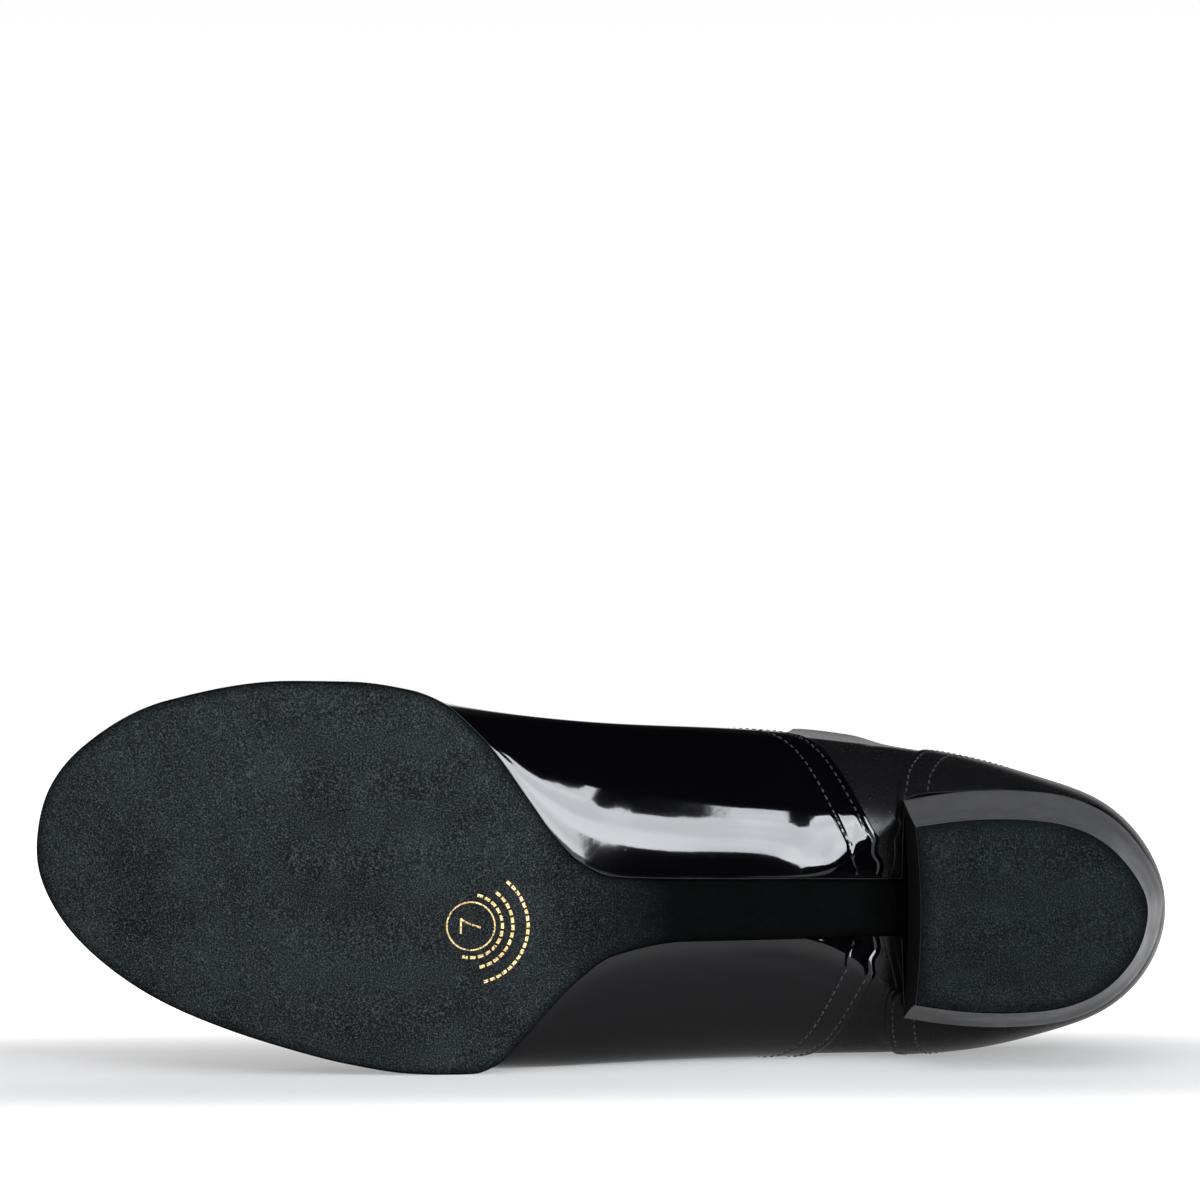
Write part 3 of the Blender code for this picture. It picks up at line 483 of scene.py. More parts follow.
    def normals(self, turn: np.ndarray, level: np.ndarray) -> np.ndarray:
        """Directions out of the wall, square to its two tangents.

        Args:
            turn: signed turns.
            level: levels up the wall.

        Returns:
            Unit vectors.
        """
        step = 2e-4
        turn, level = np.broadcast_arrays(np.asarray(turn, float), np.asarray(level, float))
        round_way = self.wall(turn + step, level) - self.wall(turn - step, level)
        low = np.clip(level - step, 0.0, 1.0)
        high = np.clip(level + step, 0.0, 1.0)
        up_way = self.wall(turn, high) - self.wall(turn, low)
        return -unit(np.cross(round_way, up_way))

    def seam_turn(self, rows: Sequence[Seam], side: Side, level: np.ndarray,
                  shift: float = 0.0) -> np.ndarray:
        """Signed turn that a seam passes at a level, moved along the shoe.

        Args:
            rows: seam table.
            side: side of the shoe.
            level: levels up the wall.
            shift: share of the length to move towards the heel.

        Returns:
            Signed turns.
        """
        stations = steady_spline(column(rows, "level"), column(rows, side.name.lower()), level)
        return side.value * turn_of(stations + shift)


LAST = Last()


def to_floor(points: np.ndarray) -> np.ndarray:
    """Take points from the shoe's own frame to the floor's."""
    turn = np.array(REST.to_3x3())
    return points @ turn.T + np.array(REST.translation)


def distance_to_line(points: np.ndarray, line: np.ndarray) -> np.ndarray:
    """Distance from each point to a line of points, square to its nearest stretches.

    Args:
        points: points in any grid.
        line: points along the line.

    Returns:
        Distances in the grid's shape.
    """
    flat = points.reshape(-1, 3)
    nearest = np.empty(len(flat), dtype=int)
    chunk = 8192
    squares = (line ** 2).sum(axis=1)
    for start in range(0, len(flat), chunk):
        part = flat[start:start + chunk]
        nearest[start:start + chunk] = (squares - 2.0 * part @ line.T).argmin(axis=1)
    best = np.linalg.norm(flat - line[nearest], axis=1)
    for shift in (-1, 1):
        other = np.clip(nearest + shift, 0, len(line) - 1)
        run = line[other] - line[nearest]
        size = np.maximum((run ** 2).sum(axis=1), 1e-18)
        t = np.clip(((flat - line[nearest]) * run).sum(axis=1) / size, 0.0, 1.0)
        foot = line[nearest] + t[:, None] * run
        best = np.minimum(best, np.linalg.norm(flat - foot, axis=1))
    return best.reshape(points.shape[:-1])


def walked_along(line: np.ndarray) -> np.ndarray:
    """Distance walked to each point of a line."""
    return np.concatenate([[0.0], np.cumsum(np.linalg.norm(np.diff(line, axis=0), axis=1))])


def resample(line: np.ndarray, places: np.ndarray,
             values: np.ndarray | None = None) -> np.ndarray:
    """Points of a line at distances along it, or the vectors that belong to its points."""
    walked = walked_along(line)
    values = line if values is None else values
    return np.stack([np.interp(places, walked, values[:, k]) for k in range(3)], axis=-1)


def grid_faces(rows: int, columns: int, wrap: bool = False, flip: bool = False) -> np.ndarray:
    """Four-cornered faces between neighbouring rows and columns of a grid.

    Args:
        rows: rows of points.
        columns: points in each row.
        wrap: join the last column to the first.
        flip: turn the faces over.

    Returns:
        Corner numbers, four to a face.
    """
    row = np.arange(rows - 1)[:, None]
    here = np.arange(columns if wrap else columns - 1)[None, :]
    there = (here + 1) % columns
    corners = [row * columns + here, row * columns + there,
               (row + 1) * columns + there, (row + 1) * columns + here]
    faces = np.stack(corners, axis=-1).reshape(-1, 4)
    return faces[:, ::-1] if flip else faces


def repeated_faces(faces: np.ndarray, points: int, copies: int) -> np.ndarray:
    """Faces of one small shape, repeated for each of its copies."""
    return (faces[None] + points * np.arange(copies)[:, None, None]).reshape(-1, faces.shape[1])


def joined_parts(parts: Sequence[tuple[np.ndarray, np.ndarray]]) -> tuple[np.ndarray, np.ndarray]:
    """Points and faces of several shapes as those of one."""
    starts = np.cumsum([0] + [len(points) for points, _ in parts[:-1]])
    return (np.concatenate([points for points, _ in parts]),
            np.concatenate([faces + start for (_, faces), start in zip(parts, starts)]))


def make_piece(name: str, points: np.ndarray, faces: np.ndarray, finish: "Finish", slot: str,
               nodes: Sequence[str], flat: np.ndarray | None = None) -> bpy.types.Object:
    """Make a finished piece from points in the shoe's own frame.

    Args:
        name: piece name.
        points: points in the shoe's own frame.
        faces: corner numbers, four to a face.
        finish: what it is made of.
        slot: not used.
        nodes: part nodes that it stands for.
        flat: places on the UV map for each point, in millimetres.

    Returns:
        The piece, welded, smooth and riding on the shoe.
    """
    mesh = bpy.data.meshes.new(name)
    cloud = to_floor(points.reshape(-1, 3)).astype(np.float32)
    faces = np.ascontiguousarray(faces, dtype=np.int32)
    mesh.vertices.add(len(cloud))
    mesh.vertices.foreach_set("co", cloud.ravel())
    mesh.loops.add(faces.size)
    mesh.loops.foreach_set("vertex_index", faces.ravel())
    mesh.polygons.add(len(faces))
    mesh.polygons.foreach_set("loop_start", np.arange(len(faces), dtype=np.int32) * 4)
    mesh.update(calc_edges=True)
    if flat is not None:
        layer = mesh.uv_layers.new(name="UVMap")
        places = flat.reshape(-1, 2)[faces.ravel()].astype(np.float32)
        layer.data.foreach_set("uv", places.ravel())
    shape = bmesh.new()
    shape.from_mesh(mesh)
    bmesh.ops.remove_doubles(shape, verts=shape.verts, dist=1e-6)
    bmesh.ops.dissolve_degenerate(shape, edges=shape.edges, dist=1e-6)
    shape.to_mesh(mesh)
    shape.free()
    mesh.shade_smooth()
    mesh.set_sharp_from_angle(angle=math.radians(50.0))
    mesh.materials.append(finish.material())
    item = bpy.data.objects.new(name, mesh)
    bpy.context.scene.collection.objects.link(item)
    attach(item, BODY)
    if nodes:
        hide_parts(*nodes)
    LOG.info("%s: %d faces, %s", name, len(mesh.polygons), finish.name)
    return item


def linear(colour: str) -> tuple[float, float, float, float]:
    """Linear colour of an sRGB hex value such as "#1a2b3c"."""
    parts = [int(colour[k:k + 2], 16) / 255.0 for k in (1, 3, 5)]
    bent = [v / 12.92 if v <= 0.04045 else ((v + 0.055) / 1.055) ** 2.4 for v in parts]
    return (*bent, 1.0)


def set_inputs(tree: bpy.types.NodeTree, node: bpy.types.Node, inputs: dict) -> None:
    """Set inputs of a node, each to a value or to the output of another node."""
    for name, value in inputs.items():
        if isinstance(value, bpy.types.NodeSocket):
            tree.links.new(value, node.inputs[name])
        else:
            node.inputs[name].default_value = value


def add_node(tree: bpy.types.NodeTree, kind: str, inputs: dict | None = None,
             **settings: object) -> bpy.types.Node:
    """Add a node to a tree.

    Args:
        tree: the node tree.
        kind: node type.
        inputs: values for its inputs by name or number, or outputs of other nodes to link.
        settings: properties of the node.

    Returns:
        The node.
    """
    node = tree.nodes.new(kind)
    for name, value in settings.items():
        setattr(node, name, value)
    set_inputs(tree, node, inputs or {})
    return node


def new_material(name: str) -> tuple[bpy.types.Material, bpy.types.NodeTree, bpy.types.Node]:
    """A fresh material, its tree and its shader."""
    material = bpy.data.materials.new(name)
    material.use_nodes = True
    tree = material.node_tree
    return material, tree, tree.nodes["Principled BSDF"]


class Finish:
    """Base of every finish: makes its material once and hands it out again."""

    name = "finish"

    def material(self) -> bpy.types.Material:
        """The material, made on first use."""
        known = bpy.data.materials.get(self.name)
        if known is not None:
            return known
        material, tree, shader = new_material(self.name)
        self.dress(tree, shader)
        return material

    def dress(self, tree: bpy.types.NodeTree, shader: bpy.types.Node) -> None:
        """Set the shader and add its patterns."""
        raise NotImplementedError

    @staticmethod
    def noise(tree: bpy.types.NodeTree, size_mm: float, detail: float = 2.0,
              roughness: float = 0.5, stretch: tuple = (1.0, 1.0, 1.0),
              where: str = "Object") -> bpy.types.NodeSocket:
        """Noise whose features are about a size in millimetres.

        Args:
            tree: the node tree.
            size_mm: size of the features.
            detail: finer layers.
            roughness: strength of the finer layers.
            stretch: how much denser the pattern is along each axis.
            where: Object or UV coordinates.

        Returns:
            The noise value, about 0.5 on average.
        """
        place = add_node(tree, "ShaderNodeTexCoord").outputs[where]
        spread = add_node(tree, "ShaderNodeMapping", {"Vector": place, "Scale": stretch})
        scale = 1.0 / (size_mm * (MM if where == "Object" else 1.0))
        return add_node(tree, "ShaderNodeTexNoise",
                        {"Vector": spread.outputs["Vector"], "Scale": scale, "Detail": detail,
                         "Roughness": roughness}).outputs["Fac"]

    @staticmethod
    def between(tree: bpy.types.NodeTree, value: bpy.types.NodeSocket, low: float, high: float,
                to_low: float = 0.0, to_high: float = 1.0) -> bpy.types.NodeSocket:
        """Take a value from one range to another, held at the ends."""
        return add_node(tree, "ShaderNodeMapRange",
                        {"Value": value, "From Min": low, "From Max": high, "To Min": to_low,
                         "To Max": to_high}).outputs["Result"]

    @staticmethod
    def blend(tree: bpy.types.NodeTree, share: bpy.types.NodeSocket, first: object,
              second: object) -> bpy.types.NodeSocket:
        """Blend two colours, each a value or an output, by a share."""
        return add_node(tree, "ShaderNodeMix", {0: share, 6: first, 7: second},
                        data_type="RGBA").outputs[2]

    @staticmethod
    def bump(tree: bpy.types.NodeTree, layers: Sequence[tuple]) -> bpy.types.NodeSocket:
        """Stack bumps, each a height, a strength and a depth in millimetres."""
        normal = None
        for height, strength, depth_mm in layers:
            inputs = {"Height": height, "Strength": strength, "Distance": depth_mm * MM}
            if normal is not None:
                inputs["Normal"] = normal
            normal = add_node(tree, "ShaderNodeBump", inputs).outputs["Normal"]
        return normal


@dataclass(frozen=True)
class PatentLeather(Finish):
    """Calf leather under a poured polyurethane film: black, mirror bright and very even.

    The film gives one sharp clear-coat reflection, which only the faint waves of the leather
    below and a few specks of dust disturb.
    """

    name: str = "patent leather"
    colour: str = "#020203"
    film_weight: float = 1.0
    film_roughness: float = 0.045
    film_index: float = 1.31
    wave_mm: float = 18.0
    wave_depth_mm: float = 0.12
    pebble_mm: float = 1.6
    pebble_depth_mm: float = 0.002
    base_mm: float = 6.0
    dust_mm: float = 0.9

    def dress(self, tree: bpy.types.NodeTree, shader: bpy.types.Node) -> None:
        """Clear coat over a dark, soft base, with the leather's waves under the film."""
        haze = self.between(tree, self.noise(tree, self.dust_mm, 3.0), 0.62, 0.80,
                            self.film_roughness, 3.0 * self.film_roughness)
        base = self.between(tree, self.noise(tree, self.base_mm, 3.0), 0.3, 0.7, 0.30, 0.42)
        waves = self.noise(tree, self.wave_mm, 1.0, 0.4)
        pebble = self.noise(tree, self.pebble_mm, 1.0)
        normal = self.bump(tree, [(waves, 1.0, self.wave_depth_mm),
                                  (pebble, 1.0, self.pebble_depth_mm)])
        set_inputs(tree, shader, {
            "Base Color": linear(self.colour), "Specular IOR Level": 0.0, "Roughness": base,
            "Coat Weight": self.film_weight, "Coat IOR": self.film_index,
            "Coat Roughness": haze, "Normal": normal, "Coat Normal": normal})


@dataclass(frozen=True)
class SoftPatent(PatentLeather):
    """The same leather where it is pulled over an edge: the film is finely wrinkled and duller."""

    name: str = "patent leather, flexed"
    colour: str = "#0a0a0b"
    film_weight: float = 0.6
    film_roughness: float = 0.24
    pebble_mm: float = 1.1
    pebble_depth_mm: float = 0.010


@dataclass(frozen=True)
class Suede(Finish):
    """Chrome-tanned split leather with a raised, brushed nap.

    The nap makes it dull from every side, a little paler at grazing angles, with soft clouds
    where the fibres lie another way, and short dark and pale fibres close up.
    """

    name: str = "sole suede"
    dark: str = "#111314"
    pale: str = "#1e2122"
    fibre: str = "#3d4143"
    pit: str = "#040505"
    cloud_mm: float = 17.0
    brushed_mm: float = 5.0
    fibre_mm: float = 0.42
    rim_mm: float = 2.6
    strip_dark: str = "#030303"
    strip_start: float = 0.126
    strip_full: float = 0.160

    def dress(self, tree: bpy.types.NodeTree, shader: bpy.types.Node) -> None:
        """Clouds and fibres in colour and bump, with the colour blended to near black along the
        waist.

        The UV map's X is the distance from the rim in millimetres, and the colour darkens within
        rim_mm of it.
        """
        clouds = self.noise(tree, self.cloud_mm, 3.0, 0.55)
        brushed = self.noise(tree, self.brushed_mm, 3.0, 0.55, (0.6, 1.0, 1.4))
        fibres = self.noise(tree, self.fibre_mm, 2.0, 0.6)
        place = add_node(tree, "ShaderNodeTexCoord").outputs
        rim = add_node(tree, "ShaderNodeSeparateXYZ", {"Vector": place["UV"]}).outputs["X"]
        along = add_node(tree, "ShaderNodeSeparateXYZ", {"Vector": place["Object"]}).outputs["X"]
        strip = (REST_PLACE.x + self.strip_start, REST_PLACE.x + self.strip_full)
        colour = linear(self.dark)
        for value, span, share, tint in (
                (clouds, (0.32, 0.68), 1.0, self.pale), (brushed, (0.50, 0.80), 0.40, self.pale),
                (fibres, (0.52, 0.74), 0.85, self.fibre), (fibres, (0.48, 0.30), 0.85, self.pit),
                (rim, (self.rim_mm, 0.0), 0.75, self.pit),
                (along, strip, 0.95, self.strip_dark)):
            part = self.between(tree, value, *span, 0.0, share)
            colour = self.blend(tree, part, colour, linear(tint))
        normal = self.bump(tree, [(clouds, 0.5, 0.30), (brushed, 0.6, 0.15),
                                  (fibres, 1.0, 0.16)])
        set_inputs(tree, shader, {
            "Base Color": colour, "Roughness": 0.95, "Specular IOR Level": 0.0,
            "Sheen Weight": 0.02, "Sheen Roughness": 0.5, "Sheen Tint": linear("#c4d2e0"),
            "Normal": normal})


@dataclass(frozen=True)
class TopPieceSuede(Suede):
    """The same suede on the heel, darker, because it is pressed and cut from a thicker split."""

    name: str = "top piece suede"
    dark: str = "#0e1011"
    pale: str = "#151819"
    fibre: str = "#2a2e30"
    cloud_mm: float = 11.0
    rim_mm: float = 3.6
    strip_start: float = 0.5
    strip_full: float = 0.6


@dataclass(frozen=True)
class CutEdge(Finish):
    """Raw cut edge of the split: fibres end on, olive brown under the black dye."""

    name: str = "raw sole edge"
    dark: str = "#0d0d0e"
    olive: str = "#25251e"

    def dress(self, tree: bpy.types.NodeTree, shader: bpy.types.Node) -> None:
        """Fibre ends in colour and bump."""
        ends = self.noise(tree, 0.4, 3.0, 0.7)
        shade = self.between(tree, ends, 0.35, 0.7)
        set_inputs(tree, shader, {
            "Base Color": self.blend(tree, shade, linear(self.dark), linear(self.olive)),
            "Roughness": 0.85, "Normal": self.bump(tree, [(ends, 0.8, 0.08)])})


@dataclass(frozen=True)
class HeelPaint(Finish):
    """Leather-covered heel block under sprayed edge ink: satin, with a faint skin of grain."""

    name: str = "heel ink"
    colour: str = "#373738"

    def dress(self, tree: bpy.types.NodeTree, shader: bpy.types.Node) -> None:
        """Satin gloss that a fine grain breaks up."""
        grain = self.noise(tree, 0.5, 3.0)
        drift = self.noise(tree, 8.0, 2.0)
        set_inputs(tree, shader, {
            "Base Color": linear(self.colour), "Specular IOR Level": 0.22,
            "Roughness": self.between(tree, drift, 0.35, 0.65, 0.34, 0.46),
            "Normal": self.bump(tree, [(grain, 0.35, 0.03), (drift, 0.3, 0.05)])})


@dataclass(frozen=True)
class ShadedBreastCover(Finish):
    """Suede on the breast of the heel: black, darkened further as painted shade, since the breast
    faces away from the light.
    """

    name: str = "breast suede, painted shade"
    colour: str = "#0a0a0b"

    def dress(self, tree: bpy.types.NodeTree, shader: bpy.types.Node) -> None:
        """Matt black with a fine nap."""
        nap = self.noise(tree, 0.4, 2.0)
        # Near-black colour: the suede's own black, darkened further as painted shade on the breast.
        set_inputs(tree, shader, {
            "Base Color": linear(self.colour), "Roughness": 0.9, "Specular IOR Level": 0.1,
            "Normal": self.bump(tree, [(nap, 0.8, 0.1)])})


@dataclass(frozen=True)
class LiningLeather(Finish):
    """Full grain goat lining, aniline dyed: pale, matt, with fine pores."""

    name: str = "lining leather"
    colour: str = "#8d7b66"
    dark: str = "#7a6853"

    def dress(self, tree: bpy.types.NodeTree, shader: bpy.types.Node) -> None:
        """Drifting tone and pores."""
        drift = self.between(tree, self.noise(tree, 14.0, 3.0), 0.3, 0.7)
        grain = self.noise(tree, 0.7, 3.0, 0.6)
        set_inputs(tree, shader, {
            "Base Color": self.blend(tree, drift, linear(self.dark), linear(self.colour)),
            "Roughness": 0.62, "Normal": self.bump(tree, [(grain, 0.5, 0.08)])})


@dataclass(frozen=True)
class Thread(Finish):
    """Bonded polyester sewing thread: black, twisted, with a low sheen."""

    name: str = "sewing thread"
    colour: str = "#0d0d0e"

    def dress(self, tree: bpy.types.NodeTree, shader: bpy.types.Node) -> None:
        """Plain dark thread whose twist shows only as bump."""
        twist = self.noise(tree, 0.3, 1.0)
        set_inputs(tree, shader, {
            "Base Color": linear(self.colour), "Roughness": 0.6, "Sheen Weight": 0.10,
            "Normal": self.bump(tree, [(twist, 0.5, 0.05)])})


@dataclass(frozen=True)
class WaxedCotton(Finish):
    """Round braided cotton lace, waxed: black, with the braid's herringbone."""

    name: str = "waxed cotton lace"
    colour: str = "#121214"
    dark: str = "#060607"
    pick_mm: float = 0.8
    braid_degrees: float = 42.0

    def dress(self, tree: bpy.types.NodeTree, shader: bpy.types.Node) -> None:
        """Two crossing sets of strands, as waves that run both ways round the cord."""
        place = add_node(tree, "ShaderNodeTexCoord").outputs["UV"]
        heights = []
        for lean in (self.braid_degrees, -self.braid_degrees):
            spread = add_node(tree, "ShaderNodeMapping",
                              {"Vector": place, "Rotation": (0.0, 0.0, math.radians(lean))})
            wave = add_node(tree, "ShaderNodeTexWave",
                            {"Vector": spread.outputs["Vector"],
                             "Scale": 1.0 / (3.1 * self.pick_mm), "Distortion": 0.4})
            heights.append(wave.outputs["Fac"])
        braid = add_node(tree, "ShaderNodeMath", {0: heights[0], 1: heights[1]},
                         operation="MAXIMUM").outputs["Value"]
        shade = self.between(tree, braid, 0.3, 1.0)
        set_inputs(tree, shader, {
            "Base Color": self.blend(tree, shade, linear(self.dark), linear(self.colour)),
            "Roughness": 0.6, "Sheen Weight": 0.08,
            "Normal": self.bump(tree, [(braid, 0.9, 0.25)])})


@dataclass(frozen=True)
class GoldFoil(Finish):
    """Hot-pressed gold foil on suede: broken up where the nap took none of it."""

    name: str = "pressed gold foil"
    gold: str = "#e6cb94"
    dull: str = "#c4a25e"
    nap: str = "#24272a"

    def dress(self, tree: bpy.types.NodeTree, shader: bpy.types.Node) -> None:
        """Foil where a fine noise is high, bare nap elsewhere."""
        worn = self.between(tree, self.noise(tree, 0.35, 3.0, 0.7), 0.42, 0.50)
        tone = self.between(tree, self.noise(tree, 1.2, 2.0), 0.3, 0.7)
        foil = self.blend(tree, tone, linear(self.dull), linear(self.gold))
        grain = self.noise(tree, 0.5, 2.0)
        set_inputs(tree, shader, {
            "Base Color": self.blend(tree, worn, linear(self.nap), foil),
            "Metallic": self.between(tree, worn, 0.0, 1.0, 0.0, 0.75),
            "Roughness": self.between(tree, worn, 0.0, 1.0, 0.95, 0.45),
            "Normal": self.bump(tree, [(grain, 0.8, 0.08)])})


@dataclass(frozen=True)
class SewnRow:
    """A row of lockstitches along a line on the wall."""

    pitch: float = 0.0021
    thread: float = 0.00046
    sides: int = 6
    rings: int = 6
    reach: float = 0.40
    glance: float = 0.3
    rise: float = 0.30
    dip: float = 0.75

    def build(self, line: np.ndarray, out: np.ndarray) -> tuple[np.ndarray, np.ndarray]:
        """Points and faces of the stitches.

        Each stitch is a round thread along the line that dips into the leather at both ends:
        its height falls with the square of the distance from its middle.

        Args:
            line: points along the row, on the leather.
            out: direction out of the leather at each of those points.

        Returns:
            Points and faces.
        """
        length = walked_along(line)[-1]
        count = max(2, int(length / self.pitch))
        walked = length * (np.arange(count) + 0.5) / count
        middle = resample(line, walked)
        glance = self.glance * self.pitch
        ahead = unit(resample(line, walked + glance) - resample(line, walked - glance))
        direction = unit(resample(line, walked, out))
        across = unit(np.cross(direction, ahead))
        t = np.linspace(-1.0, 1.0, self.rings)
        angle = np.linspace(0.0, 2.0 * math.pi, self.sides, endpoint=False)
        radius = 0.5 * self.thread * np.sqrt(np.clip(1.02 - t ** 4, 0.0, 1.0))
        lift = self.thread * (self.rise - self.dip * t ** 2)
        run = self.reach * self.pitch * t
        spine = (middle[:, None, :] + ahead[:, None, :] * run[None, :, None]
                 + direction[:, None, :] * lift[None, :, None])
        round_way = (across[:, None, None, :] * np.cos(angle)[None, None, :, None]
                     + direction[:, None, None, :] * np.sin(angle)[None, None, :, None])
        points = spine[:, :, None, :] + round_way * radius[None, :, None, None]
        faces = grid_faces(self.rings, self.sides, wrap=True, flip=True)
        return points.reshape(-1, 3), repeated_faces(faces, self.rings * self.sides, count)


CREASES = (
    Crease(Side.INNER, 0.696, 0.090, 0.0, 9.0, 6.5, 0.85),
    Crease(Side.INNER, 0.722, 0.150, 75.0, 2.5, 0.8, -0.10),
    Crease(Side.INNER, 0.757, 0.300, 62.0, 5.0, 1.8, 0.12),
    Crease(Side.INNER, 0.735, 0.44, 50.0, 7.0, 1.5, -0.15),
    Crease(Side.OUTER, 0.700, 0.17, 20.0, 7.0, 1.0, -0.20),
    Crease(Side.OUTER, 0.660, 0.15, 10.0, 9.0, 0.9, -0.16),
    Crease(Side.OUTER, 0.715, 0.22, 30.0, 6.0, 1.1, 0.15),
    Crease(Side.OUTER, 0.745, 0.33, 68.0, 7.0, 1.4, -0.20),
    Crease(Side.INNER, 0.350, 0.86, 80.0, 15.0, 2.6, -0.20),
    Crease(Side.INNER, 0.330, 0.84, 84.0, 13.0, 2.4, -0.14),
    Crease(Side.OUTER, 0.352, 0.86, 82.0, 14.0, 2.6, -0.18),
    Crease(Side.OUTER, 0.326, 0.84, 86.0, 12.0, 2.4, -0.12),
)


def crease_height(points: np.ndarray) -> np.ndarray:
    """Height of the creases: each is a ridge or trough with a bell-shaped section and ends.

    Args:
        points: points on the wall.

    Returns:
        Height out of the wall at each point.
    """
    height = np.zeros(points.shape[:-1])
    for crease in CREASES:
        turn = crease.side.value * turn_of(np.array([crease.station]))
        level = np.array([crease.level])
        middle = LAST.wall(turn, level)[0]
        out = LAST.normals(turn, level)[0]
        heelward = np.array([1.0, 0.0, 0.0])
        heelward = unit(heelward - out * heelward.dot(out))
        upward = np.cross(heelward, out) * crease.side.value
        lean = math.radians(crease.lean)
        run = heelward * math.cos(lean) + upward * math.sin(lean)
        cross = np.cross(run, out)
        away = (points - middle) / MM
        along = (away @ run) / crease.reach
        across = (away @ cross) / crease.width
        depth = (away @ out) / (2.0 * crease.reach)
        height += crease.depth * MM * np.exp(-along ** 2 - across ** 2 - depth ** 2)
    return height


@dataclass
class Upper:
    """Lasted upper: vamp, two quarters, counter, lining and the rows sewn through them."""

    wall: float = WALL
    overlay: float = OVERLAY
    wall_height: float = 0.145
    fold_radius: float = 0.00045
    under_lap: float = 0.012
    row_offsets: Span = Span(0.0019, 0.0074)
    groove_depth: float = 0.00012
    groove_width: float = 0.00050
    swell_width: float = 0.0006
    swell_share: float = 0.4
    vamp_row: Span = Span(0.13, 0.985)
    counter_row: Span = Span(0.14, 0.985)
    top_row: float = 0.0022
    top_row_sink: float = 0.00030
    top_row_stations: Span = Span(0.394, 0.985)
    counter_top: float = 0.955
    band: float = 0.0075
    band_proud: float = 0.00035
    near_top: float = 0.995
    below_top: float = 0.985
    eyelet_rows: int = 5
    eyelet_stations: Span = Span(0.425, 0.580)
    eyelet_level: float = 0.935
    eyelet_radius: float = 0.0015
    eyelet_depth: float = 0.0011
    facing_row: Span = Span(0.47, 0.612)
    facing_level: float = 0.872
    facing_bend: float = 0.588
    facing_climb: float = 0.115
    seam_samples: int = 500
    lowest_edge: float = 0.02
    lowest_crease: float = 0.12
    lap_lines: int = 26
    lower_lines: int = 50
    upper_lines: int = 90
    fine_level: float = 0.88
    fine_lines: tuple[int, int] = (54, 48)
    edge_reach: float = 0.004
    edge_lines: int = 11
    edge_margin: int = 8

    def level_lines(self, fine_top: bool = False) -> np.ndarray:
        """Levels of the mesh lines up the wall, closer near the top where holes are cut."""
        lap = np.linspace(0.0, LAST.feather_level, self.lap_lines)
        lower = np.linspace(LAST.feather_level, LAST.widest_level, self.lower_lines)
        if not fine_top:
            return joined(lap, lower, np.linspace(LAST.widest_level, 1.0, self.upper_lines))
        return joined(lap, lower,
                      np.linspace(LAST.widest_level, self.fine_level, self.fine_lines[0]),
                      np.linspace(self.fine_level, 1.0, self.fine_lines[1]))

    def seam_line(self, seam: Sequence[Seam], side: Side) -> np.ndarray:
        """Points along a seam on the wall."""
        level = np.linspace(self.lowest_edge, 1.0, self.seam_samples)
        return LAST.wall(LAST.seam_turn(seam, side, level), level)

    def edge_height(self, distance: np.ndarray) -> np.ndarray:
        """Height of an overlay near its folded edge.

        The fold is a quarter circle down to the edge and then a short upright, and each sewn
        row sits in a groove with a bell-shaped section.

        Args:
            distance: distance from the edge.

        Returns:
            Height out of the wall.
        """
        share = np.clip(1.0 - distance / self.fold_radius, 0.0, 1.0)
        fold = -self.fold_radius * (1.0 - np.sqrt(1.0 - share ** 2))
        fold = np.where(distance < 1e-6, -self.overlay, fold)
        groove = sum(np.exp(-((distance - offset) / self.groove_width) ** 2)
                     for offset in self.row_offsets)
        swell = np.exp(-((distance - 0.5 * self.row_offsets.start) / self.swell_width) ** 2)
        return fold + self.groove_depth * (self.swell_share * swell - groove)

    def overlay_panel(self, seam: Sequence[Seam], first: Side, reach: float,
                      lines: tuple[int, int]) -> tuple[np.ndarray, np.ndarray]:
        """Panel from one side's seam to the other's, with creases and folded, sewn edges.

        Args:
            seam: seam table.
            first: side it starts on: from the inner side round the toe, from the outer side
                round the heel.
            reach: share of the length for which the mesh lines follow each seam.
            lines: mesh lines in that reach, and between the two reaches.

        Returns:
            Points and turns of the mesh.
        """
        level = self.level_lines()
        near = joined(np.linspace(0.0, self.edge_reach, self.edge_lines),
                      np.linspace(self.edge_reach, reach, lines[0]))
        sides = (first, Side(-first.value))
        start, end = (np.stack([LAST.seam_turn(seam, side, level, first.value * shift)
                                for shift in near]) for side in sides)
        if first is Side.OUTER:
            end = end + 2.0 * math.pi
        share = np.linspace(0.0, 1.0, lines[1])[1:-1, None]
        turn = np.concatenate([start, start[-1] + (end[-1] - start[-1]) * share, end[::-1]])
        level = np.broadcast_to(level, turn.shape)
        points = LAST.wall(turn, level)
        lift = crease_height(points)
        count = len(near) + self.edge_margin
        for side, rows in zip(sides, (slice(0, count), slice(-count, None))):
            distance = distance_to_line(points[rows], self.seam_line(seam, side))
            distance = np.where(level[rows] < self.lowest_edge, 1.0, distance)
            lift[rows] += self.edge_height(distance)
        lift[[0, -1]] = -self.overlay
        lift = lift * smooth_step(0.0, self.lowest_crease, level)
        return points + LAST.normals(turn, level) * lift[..., None], turn

    def build_vamp(self, finish: Finish) -> None:
        """Vamp: one panel from seam to seam round the toe, closed along its ridge."""
        points, turn = self.overlay_panel(VAMP_SEAM, Side.INNER, 0.050, (48, 190))
        points[:, -1] = (points[:, -1] + points[::-1, -1]) / 2.0
        make_piece("vamp", points, grid_faces(*turn.shape), finish, "upper", ("upper",))

    def eyelet_turns(self, side: Side) -> np.ndarray:
        """Signed turns of the eyelets on one side."""
        stations = np.linspace(*self.eyelet_stations, self.eyelet_rows)
        return side.value * turn_of(stations)

